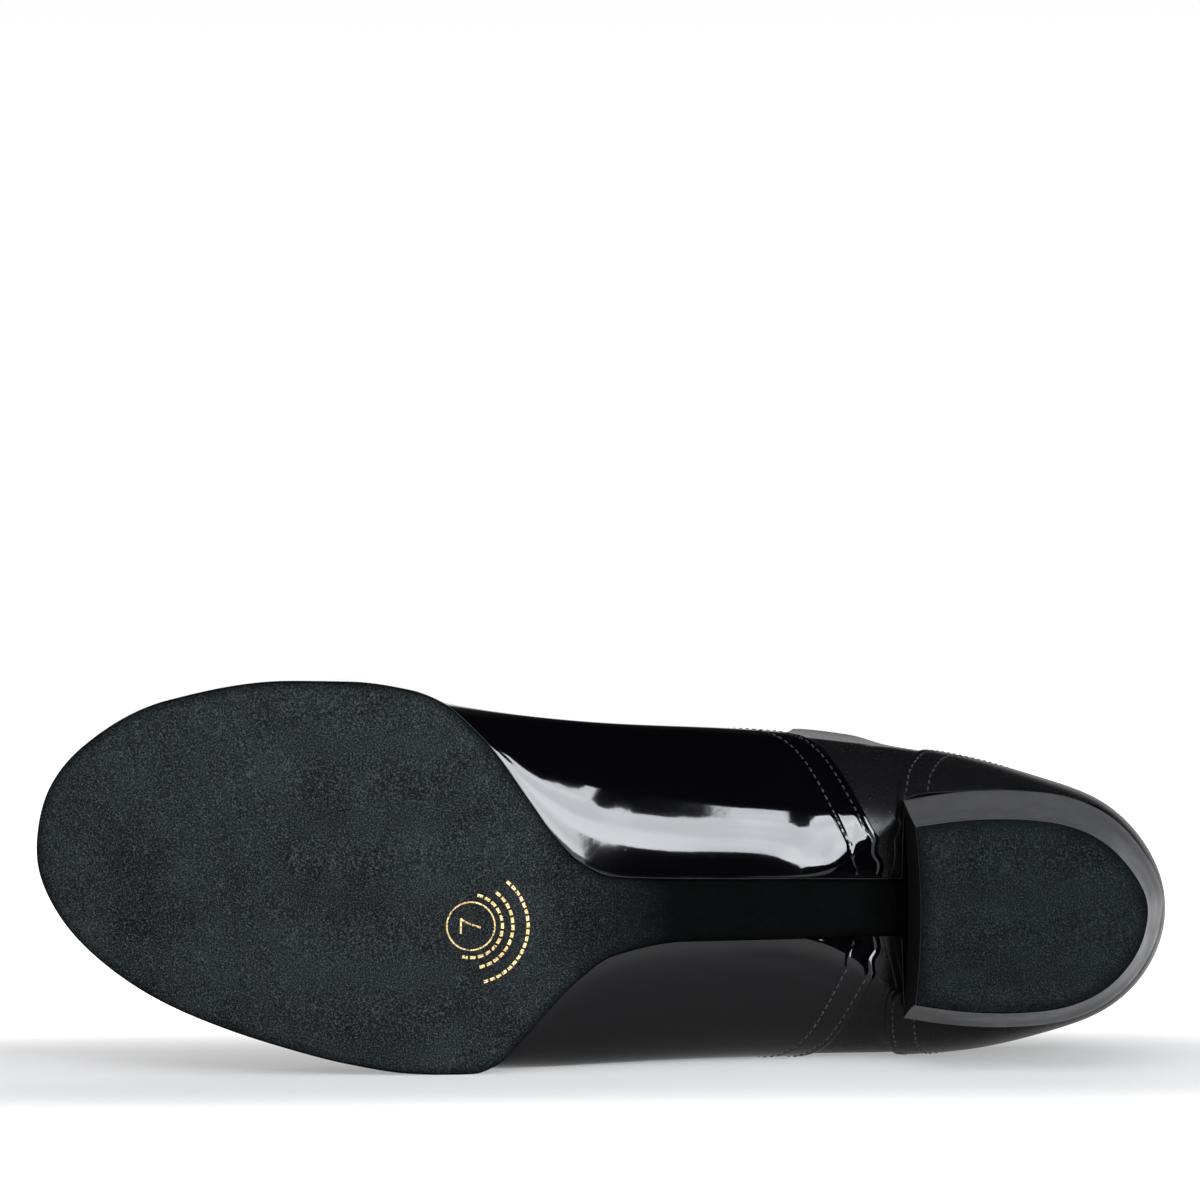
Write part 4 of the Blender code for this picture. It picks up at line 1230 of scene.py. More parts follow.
    def eyelet_height(self, points: np.ndarray, side: Side) -> np.ndarray:
        """Punched holes: a flat-bottomed pit with a rounded rim at each eyelet."""
        height = np.zeros(points.shape[:-1])
        for turn in self.eyelet_turns(side):
            middle = LAST.wall(np.array([turn]), np.array([self.eyelet_level]))[0]
            away = np.linalg.norm(points - middle, axis=-1)
            pit = 1.0 - smooth_step(0.8 * self.eyelet_radius, 1.25 * self.eyelet_radius, away)
            height -= self.eyelet_depth * pit
        return height

    def rim(self, turn: np.ndarray, outer_depth: float) -> np.ndarray:
        """Rolled top edge: a half round from the outer face over the top to the inner face.

        Args:
            turn: signed turns along the edge.
            outer_depth: how far the outer face lies under the last's surface.

        Returns:
            Points, with the roll along the second axis.
        """
        one = np.ones_like(turn)
        out = LAST.normals(turn, self.near_top * one)
        top = LAST.wall(turn, one)
        up = unit(top - LAST.wall(turn, self.below_top * one))
        up = unit(up - out * (up * out).sum(axis=-1, keepdims=True))
        half = 0.5 * (self.wall - outer_depth)
        centre = top - out * (outer_depth + half)
        angle = np.linspace(0.0, math.pi, 11)[None, :, None]
        return centre[:, None] + half * (np.cos(angle) * out[:, None] + np.sin(angle) * up[:, None])

    def facing_band(self, turn: np.ndarray, steps: int = 14) -> np.ndarray:
        """Leather turned over into the shoe, just proud of the lining, with a skived end."""
        share = np.linspace(0.0, 1.0, steps + 1)[1:]
        level = 1.0 - share * self.band / self.wall_height
        depth = self.wall - self.band_proud * (1.0 - share ** 8)
        turn, level = np.broadcast_arrays(turn[:, None], level)
        out = LAST.normals(turn, np.minimum(level, self.near_top))
        return LAST.wall(turn, level) - out * depth[None, :, None]

    def make_open_panel(self, name: str, points: np.ndarray, edge: np.ndarray, depth: float,
                        flip: bool, finish: Finish) -> None:
        """Make a panel that ends at the top edge: add its rolled rim and its turned-over band."""
        points = np.concatenate([points, self.rim(edge, depth)[:, 1:], self.facing_band(edge)],
                                axis=1)
        make_piece(name, points, grid_faces(*points.shape[:2], flip=flip), finish, "upper",
                   ("upper",))

    def build_quarter(self, side: Side, finish: Finish) -> None:
        """Quarter: from under the vamp to under the counter, with eyelets and rolled top edge."""
        level = self.level_lines(fine_top=True)
        start = LAST.seam_turn(VAMP_SEAM, side, level, -self.under_lap)
        at_seam = LAST.seam_turn(VAMP_SEAM, side, level)
        start = start + (at_seam - start) * smooth_step(0.90, 1.0, level)
        end = LAST.seam_turn(COUNTER_SEAM, side, level, self.under_lap)
        share = joined(np.linspace(0.0, 0.36, 150), np.linspace(0.36, 1.0, 80))[:, None]
        turn = start + (end - start) * share
        level = np.broadcast_to(level, turn.shape)
        points = LAST.wall(turn, level)
        lift = crease_height(points) + self.eyelet_height(points, side)
        lift = lift * smooth_step(0.0, self.lowest_crease, level) - self.overlay
        points = points + LAST.normals(turn, level) * lift[..., None]
        self.make_open_panel(f"quarter_{side.name.lower()}", points, turn[:, -1], self.overlay,
                             side is Side.OUTER, finish)

    def build_counter(self, finish: Finish) -> None:
        """Counter: one panel round the back of the heel, folded at both front edges."""
        points, turn = self.overlay_panel(COUNTER_SEAM, Side.OUTER, 0.030, (28, 110))
        self.make_open_panel("counter", points, turn[:, -1], 0.0, True, finish)

    def build_lining(self, finish: Finish) -> None:
        """Lining: the inner face of the wall, all the way round."""
        level = joined(np.linspace(0.0, 0.1, 4), np.linspace(0.1, 1.0, 70))
        turn, level = np.broadcast_arrays(np.linspace(-math.pi, math.pi, 260)[:, None], level)
        points = LAST.wall(turn, level, self.wall)
        make_piece("lining", points, grid_faces(*turn.shape), finish, "insole", ("upper",))

    def row_beside(self, seam: Sequence[Seam], side: Side, distance: float, heelward: float,
                   levels: Span) -> tuple[np.ndarray, np.ndarray]:
        """Line at a steady distance from a seam, on the wall.

        At each level the distance to the seam is worked out at many stations, and the station
        where it equals the one asked for is read off.

        Args:
            seam: seam table.
            side: side of the shoe.
            distance: distance from the seam.
            heelward: 1 for the heel's side of the seam, -1 for the toe's.
            levels: first and last level of the row.

        Returns:
            Points of the line and directions out of the wall.
        """
        level = np.linspace(*levels, 260)
        shifts = np.linspace(0.0, 0.06, 90)
        turn = np.stack([LAST.seam_turn(seam, side, level, heelward * d) for d in shifts], axis=1)
        points = LAST.wall(turn, np.broadcast_to(level[:, None], turn.shape))
        away = distance_to_line(points, self.seam_line(seam, side))
        past = np.maximum((away > distance).argmax(axis=1), 1)
        row = np.arange(len(level))
        before, after = away[row, past - 1], away[row, past]
        share = (distance - before) / np.maximum(after - before, 1e-9)
        found = turn[row, past - 1] + (turn[row, past] - turn[row, past - 1]) * share
        return LAST.wall(found, level), LAST.normals(found, level)

    def sunk_row(self, side: Side, stations: np.ndarray, level: np.ndarray,
                 depth: np.ndarray) -> tuple[np.ndarray, np.ndarray]:
        """Line given by stations and levels, at a depth under the last's surface."""
        turn = side.value * turn_of(stations)
        out = LAST.normals(turn, level)
        return LAST.wall(turn, level) - out * depth[:, None], out

    def sew(self, finish: Finish) -> None:
        """Sew two rows along each seam, one below the top edge and one behind the eyelets."""
        thread = SewnRow()
        rows = []
        for side in Side:
            for offset in self.row_offsets:
                for seam, way, levels in ((VAMP_SEAM, -1.0, self.vamp_row),
                                          (COUNTER_SEAM, 1.0, self.counter_row)):
                    line, out = self.row_beside(seam, side, offset, way, levels)
                    rows.append(thread.build(line - out * self.groove_depth, out))
            stations = np.linspace(*self.top_row_stations, 400)
            level = np.full_like(stations, 1.0 - self.top_row / self.wall_height)
            depth = np.where(stations > self.counter_top, 0.0, self.overlay)
            depth = depth + self.top_row_sink
            rows.append(thread.build(*self.sunk_row(side, stations, level, depth)))
            stations = np.linspace(*self.facing_row, 200)
            bend = smooth_step(self.facing_bend, self.facing_row.end, stations)
            level = self.facing_level + self.facing_climb * bend
            depth = np.full_like(stations, self.overlay)
            rows.append(thread.build(*self.sunk_row(side, stations, level, depth)))
        make_piece("upper_stitching", *joined_parts(rows), finish, "upper", ())

    def build(self) -> None:
        """Make every piece of the upper."""
        self.build_vamp(PatentLeather())
        soft = SoftPatent()
        for side in Side:
            self.build_quarter(side, soft)
        self.build_counter(soft)
        self.build_lining(LiningLeather())
        self.sew(Thread())


@dataclass
class Bottom:
    """Suede sole with its raw edge, and the sock inside."""

    corner: float = 0.0006
    insole_thickness: float = 0.0018
    insole_margin: float = 0.0010
    insole_rise: float = 0.62
    wall: float = WALL
    end_turn: float = 0.16
    seat_turns: Span = Span(2.09, 2.16)

    def build_outsole(self, face: Finish, edge: Finish) -> None:
        """Sole: its outline, with rounded lower corners, an upright raw edge and a flat top.

        The mesh is finest where the waist widens to the heel seat. The face's UV map holds
        the distance from the outline in millimetres.
        """
        turn = joined(np.linspace(0.0, self.seat_turns.start, 330),
                      np.linspace(*self.seat_turns, 24),
                      np.linspace(self.seat_turns.end, math.pi, 120))
        x = LAST.along(LAST.sole_span, turn)
        inner = LAST.outline(SOLE_ROWS, -turn, steady_spline)
        outer = LAST.outline(SOLE_ROWS, turn, steady_spline)
        inside, outside = inner[:, None], outer[:, None]
        width = outside - inside
        quarter = np.linspace(0.0, math.pi / 2.0, 6)
        flat = (0.5 - 0.5 * np.cos(np.linspace(0.0, math.pi, 44)))[1:-1]
        pull_in, pull_up = 1.0 - np.sin(quarter), 1.0 - np.cos(quarter)
        share = np.concatenate([0.0 * quarter, flat, 0.0 * quarter + 1.0])
        pull = np.concatenate([pull_in[::-1], 0.0 * flat, -pull_in])
        lift = np.concatenate([pull_up[::-1], 0.0 * flat, pull_up])
        room = np.minimum(self.corner, 0.3 * width)
        y = np.clip(inside + share * width + pull * room, inside, outside)
        base = LAST.tread(x)[:, None]
        bottom = np.stack([np.broadcast_to(x[:, None], y.shape), y, base + lift * room], axis=-1)
        ring = np.stack([np.concatenate([x, x[::-1]]), np.concatenate([inner, outer[::-1]]),
                         np.zeros(2 * len(x))], axis=-1)
        rim = distance_to_line(bottom * np.array([1.0, 1.0, 0.0]), ring) / MM
        make_piece("outsole_face", bottom, grid_faces(*y.shape, flip=True), face, "outsole",
                   ("outsole",), np.stack([rim, 0.0 * rim], axis=-1))
        share = np.array([0.0, 0.0, 0.0, 0.0, 0.3, 0.7, 1.0, 1.0, 1.0, 1.0])
        rise = np.array([0.0, 0.4, 0.8, 1.0, 1.0, 1.0, 1.0, 0.8, 0.4, 0.0])
        y = inside + share * width
        low = base + room
        z = low + (base + LAST.sole_thickness - low) * rise
        rest = np.stack([np.broadcast_to(x[:, None], y.shape), y, z], axis=-1)
        make_piece("outsole_edge", rest, grid_faces(*y.shape), edge, "outsole", ("outsole",))

    def build_insole(self, finish: Finish) -> None:
        """Sock: follows the inside of the bottom and rises a little at its sides."""
        turn = np.linspace(self.end_turn, math.pi - self.end_turn, 160)
        rise = np.linspace(self.insole_rise, 0.0, 10)
        full = np.clip((LAST.outline(FEATHER_ROWS, turn) - LAST.outline(FEATHER_ROWS, -turn))
                       / (0.5 * LAST.ball_width), 0.0, 1.0)
        columns = []
        for side, shares in ((Side.INNER, rise), (Side.OUTER, rise[::-1])):
            for share in shares:
                reach = share * (1.0 - 0.92 * full)
                level = LAST.feather_level + (LAST.widest_level - LAST.feather_level) * reach
                columns.append(LAST.wall(side.value * turn, level,
                                         self.wall + self.insole_margin))
        low = np.stack(columns, axis=1)
        low[..., 2] += LAST.clearance - self.insole_margin
        high = low.copy()
        high[..., 2] += self.insole_thickness
        ring = np.concatenate([high, low[:, ::-1]], axis=1)
        make_piece("sock", ring, grid_faces(*ring.shape[:2], wrap=True), finish, "insole",
                   ("insole",))


@dataclass
class Stamp:
    """Foil stamp on the tread: a ring round the size figure, and plain dashes on arcs beside it."""
    """Foil stamp on the tread: a ring round the size figure, and plain dashes on arcs beside it.

    An arc is its radius, its first and last angle in degrees and its number of dashes.
    """

    centre: tuple[float, float] = (0.1099, 0.0060)
    ring_radius: float = 0.0060
    line: float = 0.00036
    dash: float = 0.00075
    dash_share: float = 0.72
    film: float = 0.00006
    arcs: tuple[tuple[float, float, float, int], ...] = (
        (0.0079, -78.0, 106.0, 13), (0.0105, -53.0, 78.0, 13), (0.0143, -51.0, 77.0, 19))
    figure_height: float = 0.0050

    def strip(self, path: np.ndarray, width: float) -> tuple[np.ndarray, np.ndarray]:
        """Flat strip of a width along a plane path round the stamp's middle."""
        ahead = np.gradient(path, axis=0)
        ahead /= np.linalg.norm(ahead, axis=1, keepdims=True)
        across = np.stack([-ahead[:, 1], ahead[:, 0]], axis=1) * width / 2.0
        rows = np.stack([path - across, path, path + across], axis=1) + np.array(self.centre)
        return rows.reshape(-1, 2), grid_faces(len(path), 3)

    def arc(self, radius: float, start: float, end: float, points: int, width: float) -> tuple:
        """Strip along an arc between two angles in degrees."""
        angle = np.radians(np.linspace(start, end, points))
        return self.strip(radius * np.stack([np.cos(angle), np.sin(angle)], axis=1), width)

    def build(self, finish: Finish) -> None:
        """Lay every strip just off the tread."""
        share = np.linspace(0.0, 1.0, 12)
        bar = np.stack([np.full(8, -0.5), np.linspace(0.38, -0.38, 8)], axis=1)
        leg = np.stack([share - 0.5, -0.38 + 0.46 * share ** 0.7], axis=1)
        strips = [self.arc(self.ring_radius, 0.0, 360.0, 97, self.line)]
        strips += [self.strip(self.figure_height * stroke, 1.2 * self.line)
                   for stroke in (bar, leg)]
        for radius, start, end, count in self.arcs:
            half = 0.5 * self.dash_share * (end - start) / count
            strips += [self.arc(radius, place - half, place + half, 6, self.dash)
                       for place in np.linspace(start + half, end - half, count)]
        plane, faces = joined_parts(strips)
        height = LAST.tread(plane[:, 0]) - self.film
        make_piece("size_stamp", np.column_stack([plane, height]), faces, finish, "outsole", ())


@dataclass
class Heel:
    """Low block heel with a tapered wall, a hollow breast and a suede top piece."""

    span: Span = Span(0.757, 0.988)
    centre: float = 0.036
    seat_width: float = 0.613
    taper: float = 0.0060
    breast_rake: float = 0.25
    back_rake: float = 1.2
    breast_hollow: float = 0.0013
    tip: float = 0.0030
    corner: float = 0.0003
    end_inset: float = 0.004
    tip_gap: float = 0.00002
    seat_gap: float = 0.00005
    swell: float = 0.00006
    face_insets: tuple[float, ...] = (0.020, 0.015, 0.010, 0.007, 0.005, 0.0035, 0.0022, 0.0012)
    lines: int = 72
    breast_lines: int = 40

    def outline(self, taper: float, inset: float = 0.0) -> np.ndarray:
        """Closed outline, drawn in by the taper at the back and sides and by inset all round."""
        start = LAST.length * self.span.start + LAST.clearance + self.breast_rake * taper + inset
        end = LAST.length * self.span.end - self.back_rake * taper - inset
        width = LAST.ball_width * self.seat_width - 2.0 * (taper + inset)
        quarter = np.linspace(0.0, math.pi / 2.0, self.lines + 1)
        knots = np.arcsin(column(HEEL_ROWS, "station"))
        x = start + (end - start) * np.sin(quarter)
        inner, outer = (LAST.ball_width * self.centre
                        + width * natural_spline(knots, column(HEEL_ROWS, side), quarter)
                        for side in ("inner", "outer"))
        share = np.linspace(0.0, 1.0, self.breast_lines + 1)[1:-1]
        breast_y = outer[0] + (inner[0] - outer[0]) * share
        breast_x = start + self.breast_hollow * 4.0 * share * (1.0 - share)
        return np.stack([np.concatenate([x, x[::-1][1:], breast_x]),
                         np.concatenate([inner, outer[::-1][1:], breast_y])], axis=-1)

    def ring(self, taper: float, inset: float, height: float | np.ndarray) -> np.ndarray:
        """An outline as points at a height."""
        flat = self.outline(taper, inset)
        return np.column_stack([flat, np.broadcast_to(height, len(flat))])

    def build_block(self, finish: Finish, breast: Finish) -> None:
        """Block: outlines stacked from the top piece to the seat, drawn in at both ends."""
        base = self.tip + self.tip_gap
        climb = np.linspace(0.0, 1.0, 26)
        tapers = self.taper * steady_spline(column(HEEL_TAPER_ROWS, "station"),
                                            column(HEEL_TAPER_ROWS, "share"), climb)
        rings = [self.ring(self.taper, self.end_inset, base)]
        for share, taper, inset in [*zip(climb, tapers, 0.0 * climb), (1.0, 0.0, self.end_inset)]:
            seat = LAST.tread(self.outline(taper, inset)[:, 0]) - self.seat_gap
            rings.append(self.ring(taper, inset, base + (seat - base) * share))
        ends = [np.broadcast_to(ring.mean(axis=0), ring.shape) for ring in (rings[0], rings[-1])]
        points = np.stack([ends[0], *rings, ends[1]])
        wall = 2 * self.lines + 1
        for name, part, cover in (
                ("heel_block", points[:, :wall], finish),
                ("heel_breast", np.concatenate([points[:, wall - 1:], points[:, :1]], axis=1),
                 breast)):
            make_piece(name, part, grid_faces(*part.shape[:2], flip=True), cover, "heel",
                       ("heel",))

    def build_top_piece(self, face: Finish, edge: Finish) -> None:
        """Top piece: a flat suede face with a rounded rim, and an inked edge like the block's.

        The face's UV map holds the distance from the rim in millimetres.
        """
        angle = np.linspace(0.0, math.pi / 2.0, 5)
        insets = np.concatenate([self.face_insets, self.corner * (1.0 - np.sin(angle))])
        heights = np.concatenate([np.zeros(len(self.face_insets)),
                                  self.corner * (1.0 - np.cos(angle))])
        rings = np.stack([self.ring(self.taper, *place) for place in zip(insets, heights)])
        points = np.concatenate([np.broadcast_to(rings[0].mean(axis=0), rings[:1].shape), rings])
        rim = np.broadcast_to(np.append(insets[0], insets)[:, None] / MM, points.shape[:2])
        make_piece("top_piece", points, grid_faces(*points.shape[:2], wrap=True, flip=True),
                   face, "heel_tip", ("heel_tip",), np.stack([rim, 0.0 * rim], axis=-1))
        heights = np.linspace(self.corner, self.tip, 8)
        swells = self.swell * np.sin(math.pi * (heights - self.corner) / self.tip)
        rings = [self.ring(self.taper, *place) for place in zip(-swells, heights)]
        points = np.stack([*rings, self.ring(self.taper, self.end_inset, self.tip)])
        make_piece("top_piece_edge", points, grid_faces(*points.shape[:2], wrap=True, flip=True),
                   edge, "heel_tip", ("heel_tip",))


@dataclass
class Tongue:
    """Tongue under the facings, with a round end above the lacing."""

    span: Span = Span(0.398, 0.585)
    levels: Span = Span(0.78, 1.00)
    thickness: float = 0.0020
    rise: float = 0.0100
    wall: float = WALL
    overlay: float = OVERLAY

    def build(self, finish: Finish) -> None:
        """Tongue: follows the facings from below, then runs straight on to a rounded end."""
        stations = np.linspace(*self.span, 110)
        levels = np.linspace(*self.levels, 22)
        depth = self.wall + self.overlay + 2.0 * LAST.clearance
        sides = []
        for side, order in ((Side.INNER, levels), (Side.OUTER, levels[::-1])):
            for value in order:
                sides.append(LAST.wall(side.value * turn_of(stations), value, depth))
        top = np.stack(sides, axis=1)
        middle = top.mean(axis=1)
        run = middle[-1] - middle[-20]
        run[1] = 0.0
        run /= np.linalg.norm(run)
        steps = np.linspace(0.0, 1.0, 24)[1:]
        end = top[-1][None] + (self.rise * steps)[:, None, None] * run
        narrow = np.sqrt(np.clip(1.0 - 0.92 * steps ** 3, 0.0, 1.0))[:, None]
        centre = end[..., 1].mean(axis=1, keepdims=True)
        end[..., 1] = centre + (end[..., 1] - centre) * narrow
        top = np.concatenate([top, end])
        low = top.copy()
        low[..., 2] -= self.thickness
        ring = np.concatenate([top, low[:, ::-1]], axis=1)
        ends = [ring[:1].mean(axis=1, keepdims=True), ring[-1:].mean(axis=1, keepdims=True)]
        ring = np.concatenate([np.broadcast_to(ends[0], ring[:1].shape), ring,
                               np.broadcast_to(ends[1], ring[:1].shape)])
        make_piece("tongue_leather", ring, grid_faces(*ring.shape[:2], wrap=True), finish, "tongue",
                   ("tongue",))


@dataclass
class Lacing:
    """Round lace: a bar at the throat and a crossing between each two rows of eyelets."""

    diameter: float = 0.0026
    lift: float = 0.0002
    arch: float = 0.0006
    climb: float = 0.3
    stagger: float = 0.0005
    sides: int = 14
    samples: int = 56
    sink: float = 0.0030

    def run(self, start: tuple[float, float], end: tuple[float, float], shift: float,
            level: float) -> np.ndarray:
        """Path of one run between two eyelets.

        It comes up out of the eyelet, climbs the facing to its edge, bridges the gap in a low
        hump and goes down into the other eyelet.

        Args:
            start: side sign and station of the first eyelet.
            end: side sign and station of the second.
            shift: how far it lies behind and above the run that it crosses.
            level: level of the eyelets.

        Returns:
            Points of the path.
        """
        share = np.linspace(0.0, 1.0, self.samples)
        station = start[1] + (end[1] - start[1]) * share
        near = np.clip(share / self.climb, 0.0, 1.0)
        far = np.clip((1.0 - share) / self.climb, 0.0, 1.0)
        leave = LAST.wall(start[0] * turn_of(station), level + (1.0 - level) * near)
        reach = LAST.wall(end[0] * turn_of(station), level + (1.0 - level) * far)
        bridge = np.clip((share - self.climb) / (1.0 - 2.0 * self.climb), 0.0, 1.0)[:, None]
        path = leave + (reach - leave) * bridge
        hump = np.sin(math.pi * share)
        path[:, 2] += self.diameter / 2.0 + self.lift + (self.arch + 0.5 * shift) * hump
        path[:, 0] += shift
        kernel = np.ones(5) / 5.0
        padded = np.concatenate([path[:1].repeat(2, axis=0), path, path[-1:].repeat(2, axis=0)])
        path = np.stack([np.convolve(padded[:, k], kernel, "valid") for k in range(3)], axis=-1)
        down = np.linspace(1.0, 0.0, 7)[:-1]
        first = path[0] - LAST.normals(start[0] * turn_of(start[1]), level) * (
            self.sink * down[:, None])
        last = path[-1] - LAST.normals(end[0] * turn_of(end[1]), level) * (
            self.sink * down[::-1, None])
        return np.concatenate([first, path, last])

    def tube(self, path: np.ndarray) -> tuple[np.ndarray, np.ndarray]:
        """Tube round a path, and its map: millimetres along and round the cord."""
        ahead = unit(np.gradient(path, axis=0))
        across = unit(np.cross(ahead, np.array([0.0, 0.0, 1.0]) + 0.0 * ahead))
        raised = np.cross(across, ahead)
        angle = np.linspace(0.0, 2.0 * math.pi, self.sides + 1)
        ring = (np.cos(angle)[None, :, None] * across[:, None]
                + np.sin(angle)[None, :, None] * raised[:, None])
        radius = 0.5 * self.diameter
        flat = np.broadcast_arrays(walked_along(path)[:, None] / MM, angle[None] * radius / MM)
        return path[:, None] + radius * ring, np.stack(flat, axis=-1)

    def build(self, upper: Upper, finish: Finish) -> None:
        """Every run as a tube, in one piece."""
        stations = np.linspace(*upper.eyelet_stations, upper.eyelet_rows)
        inner, outer = float(Side.INNER.value), float(Side.OUTER.value)
        runs = [((inner, stations[0]), (outer, stations[0]))]
        for low, high in zip(stations[:-1], stations[1:]):
            runs += [((inner, low), (outer, high)), ((outer, low), (inner, high))]
        parts, flats = [], []
        for number, (start, end) in enumerate(runs):
            shift = self.stagger * (number % 3 - 1)
            points, flat = self.tube(self.run(start, end, shift, upper.eyelet_level))
            parts.append((points.reshape(-1, 3), grid_faces(*points.shape[:2], flip=True)))
            flats.append(flat.reshape(-1, 2))
        make_piece("lace_cord", *joined_parts(parts), finish, "lace", ("lace",),
                   np.concatenate(flats))


@dataclass
class Studio:
    """Pale floor that glows, with painted shade round the shoe, soft light and the camera.

    The camera's place is in the shoe's own frame, and everything else on the floor's. The
    window's corners are turns from straight in front and rises, in degrees, seen from the aim.
    A fill is its name, place, width and height, and watts.
    """

    photo_pixels: float = 1200.0
    focal_pixels: float = 3883.0
    sensor: float = 36.0
    eye: tuple[float, float, float] = (0.1422, -0.0756, -0.9712)
    aim: tuple[float, float, float] = (0.02, 0.0, 0.07)
    window: tuple[tuple[float, float], ...] = (
        (14.0, -3.0), (36.5, -3.0), (36.5, 15.0), (36.6, 20.0), (36.8, 26.0), (34.8, 26.0),
        (33.3, 20.5), (31.5, 18.5), (30.2, 18.5), (29.2, 24.5), (27.0, 25.5), (20.0, 25.0),
        (14.0, 16.0))
    window_distance: float = 1.0
    window_glow: float = 35.0
    card: tuple[tuple[float, float, float], ...] = (
        (0.271, -0.695, 0.0), (0.66, -0.52, 0.0), (0.66, -0.52, 0.132), (0.336, -0.665, 0.132))
    fills: tuple[tuple[str, tuple, tuple, float], ...] = (
        ("fill", (0.0, -0.75, 1.60), (2.6, 2.2), 36.0),
        ("front", (0.35, -1.50, 0.75), (1.8, 1.2), 9.0),
        ("back", (0.10, 1.30, 1.30), (2.0, 1.4), 22.0))
    floor_reach: float = 6.0
    floor_colour: str = "#9c9c9d"
    # Floor glow as painted light: lowest within the box round the shoe, a painted shade, rising to
    # white over these distances from it.
    floor_shade_fade: Span = Span(0.02, 0.15)
    floor_glow: Span = Span(0.33, 1.05)
    shoe_middle: tuple[float, float, float] = (-0.012, -0.030, 0.0)
    shoe_half: tuple[float, float, float] = (0.140, 0.015, 0.0)

    def place_camera(self) -> None:
        """Camera at the photo's place under the shoe's own frame, rolled as the shoe lies."""
        data = bpy.data.cameras.new("camera")
        data.sensor_width = self.sensor
        data.lens = self.focal_pixels * self.sensor / self.photo_pixels
        data.clip_start = 0.01
        data.clip_end = 50.0
        camera = bpy.data.objects.new("camera", data)
        bpy.context.scene.collection.objects.link(camera)
        own = Matrix(((1, 0, 0), (0, -1, 0), (0, 0, -1))).to_4x4()
        own.translation = Vector(self.eye)
        camera.matrix_world = REST @ own
        bpy.context.scene.camera = camera

    def set_out(self, name: str, corners: Sequence, material: bpy.types.Material,
                seen: bool = False) -> None:
        """Put a flat sheet into the studio.

        Args:
            name: name of the sheet.
            corners: its corners, in order.
            material: what it is made of.
            seen: whether the camera sees it and it throws a shadow. If not, only gloss and soft
                light see it.
        """
        mesh = bpy.data.meshes.new(name)
        mesh.from_pydata(corners, [], [tuple(range(len(corners)))])
        mesh.materials.append(material)
        sheet = bpy.data.objects.new(name, mesh)
        bpy.context.scene.collection.objects.link(sheet)
        sheet.visible_camera = seen
        sheet.visible_shadow = seen

    def make_floor(self) -> None:
        """Pale floor whose glow is painted light: dim round the shoe as painted shade, white away
        from it.
        """
        material, tree, shader = new_material("glowing floor with painted shade")
        value = add_node(tree, "ShaderNodeTexCoord").outputs["Object"]
        for operation, other in (("SUBTRACT", self.shoe_middle), ("ABSOLUTE", None),
                                 ("SUBTRACT", self.shoe_half), ("MAXIMUM", None),
                                 ("LENGTH", None)):
            inputs = {0: value} if other is None else {0: value, 1: other}
            step = add_node(tree, "ShaderNodeVectorMath", inputs, operation=operation)
            value = step.outputs["Value" if operation == "LENGTH" else "Vector"]
        # Emission of the floor: painted shade near the shoe, painted glow further out.
        glow = add_node(tree, "ShaderNodeMapRange",
                        {"Value": value, "From Min": self.floor_shade_fade.start,
                         "From Max": self.floor_shade_fade.end, "To Min": self.floor_glow.start,
                         "To Max": self.floor_glow.end}, interpolation_type="SMOOTHERSTEP")
        set_inputs(tree, shader, {
            "Base Color": linear(self.floor_colour), "Roughness": 0.75,
            "Emission Color": WHITE, "Emission Strength": glow.outputs["Result"]})
        reach = self.floor_reach
        self.set_out("floor", [(-reach, -reach, 0.0), (reach, -reach, 0.0), (reach, reach, 0.0),
                               (-reach, reach, 0.0)], material, seen=True)

    def add_fill(self, name: str, place: tuple, size: tuple, power: float) -> None:
        """Broad soft light that looks at the shoe and that no gloss mirrors.

        Args:
            name: name of the light.
            place: where it stands.
            size: width and height.
            power: watts.
        """
        data = bpy.data.lights.new(name, "AREA")
        data.shape = "RECTANGLE"
        data.size, data.size_y = size
        data.energy = power
        lamp = bpy.data.objects.new(name, data)
        bpy.context.scene.collection.objects.link(lamp)
        lamp.location = place
        lamp.rotation_mode = "QUATERNION"
        lamp.rotation_quaternion = (Vector(self.aim) - Vector(place)).to_track_quat("-Z", "Y")
        lamp.visible_camera = False
        lamp.visible_glossy = False

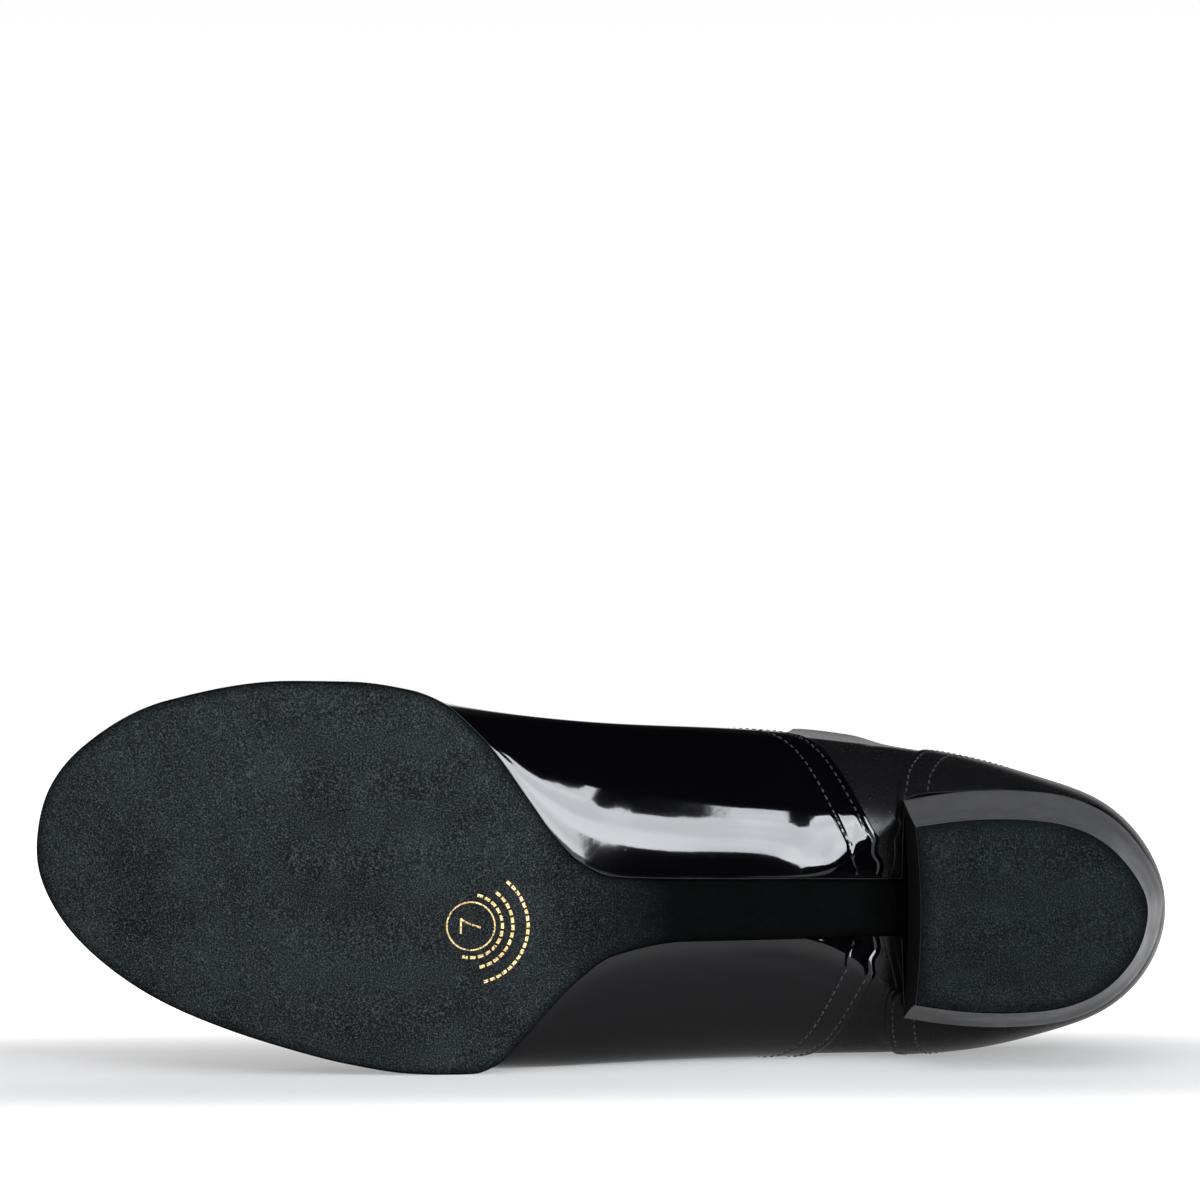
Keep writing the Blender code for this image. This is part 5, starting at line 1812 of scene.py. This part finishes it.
    def add_window(self) -> None:
        """Bright pane on a sphere round the shoe: the streak in the vamp's gloss."""
        turn, rise = np.radians(np.array(self.window)).T
        ways = np.stack([np.sin(turn) * np.cos(rise), -np.cos(turn) * np.cos(rise),
                         np.sin(rise)], axis=-1)
        corners = np.array(self.aim) + self.window_distance * ways
        material, tree, shader = new_material("window pane")
        clouds = Finish.noise(tree, 110.0, 2.0, 0.5)
        glow = Finish.between(tree, clouds, 0.35, 0.65, 0.84 * self.window_glow,
                              1.08 * self.window_glow)
        set_inputs(tree, shader, {
            "Base Color": linear("#000000"), "Specular IOR Level": 0.0,
            "Emission Color": linear("#f6faff"), "Emission Strength": glow})
        self.set_out("window", corners.tolist(), material)

    def add_card(self) -> None:
        """Black card on the floor in front of the window: the dark shape in the vamp's gloss."""
        material, tree, shader = new_material("black card")
        set_inputs(tree, shader, {"Base Color": linear("#050505"), "Roughness": 0.9,
                                  "Specular IOR Level": 0.0})
        self.set_out("black_card", self.card, material)

    def make_world(self) -> None:
        """White wall behind the shoe that fades to dark overhead and in front."""
        world = bpy.data.worlds.new("studio")
        bpy.context.scene.world = world
        world.use_nodes = True
        tree = world.node_tree
        place = add_node(tree, "ShaderNodeTexCoord").outputs["Generated"]
        parts = add_node(tree, "ShaderNodeSeparateXYZ", {"Vector": place}).outputs
        behind = Finish.between(tree, parts["Y"], 0.5, 0.95, 0.04, 1.0)
        low = add_node(tree, "ShaderNodeMapRange",
                       {"Value": parts["Z"], "From Min": 0.15, "From Max": 0.36,
                        "To Min": 1.0, "To Max": 0.05}, interpolation_type="SMOOTHERSTEP")
        glow = add_node(tree, "ShaderNodeMath", {0: behind, 1: low.outputs["Result"]},
                        operation="MULTIPLY").outputs["Value"]
        set_inputs(tree, tree.nodes["Background"], {"Color": WHITE, "Strength": glow})

    def build(self) -> None:
        """Set up the studio."""
        self.place_camera()
        self.make_floor()
        self.add_window()
        for fill in self.fills:
            self.add_fill(*fill)
        self.add_card()
        self.make_world()
        bpy.context.scene.view_settings.view_transform = "Standard"


def main() -> None:
    """Build the shoe piece by piece and light it."""
    logging.basicConfig(level=logging.INFO, format="%(name)s %(message)s")
    Studio().build()
    upper = Upper()
    upper.build()
    bottom = Bottom()
    bottom.build_outsole(Suede(), CutEdge())
    bottom.build_insole(LiningLeather())
    Stamp().build(GoldFoil())
    heel = Heel()
    heel.build_block(HeelPaint(), ShadedBreastCover())
    heel.build_top_piece(TopPieceSuede(), HeelPaint())
    Tongue().build(SoftPatent())
    Lacing().build(upper, WaxedCotton())


if __name__ == "__main__":
    main()
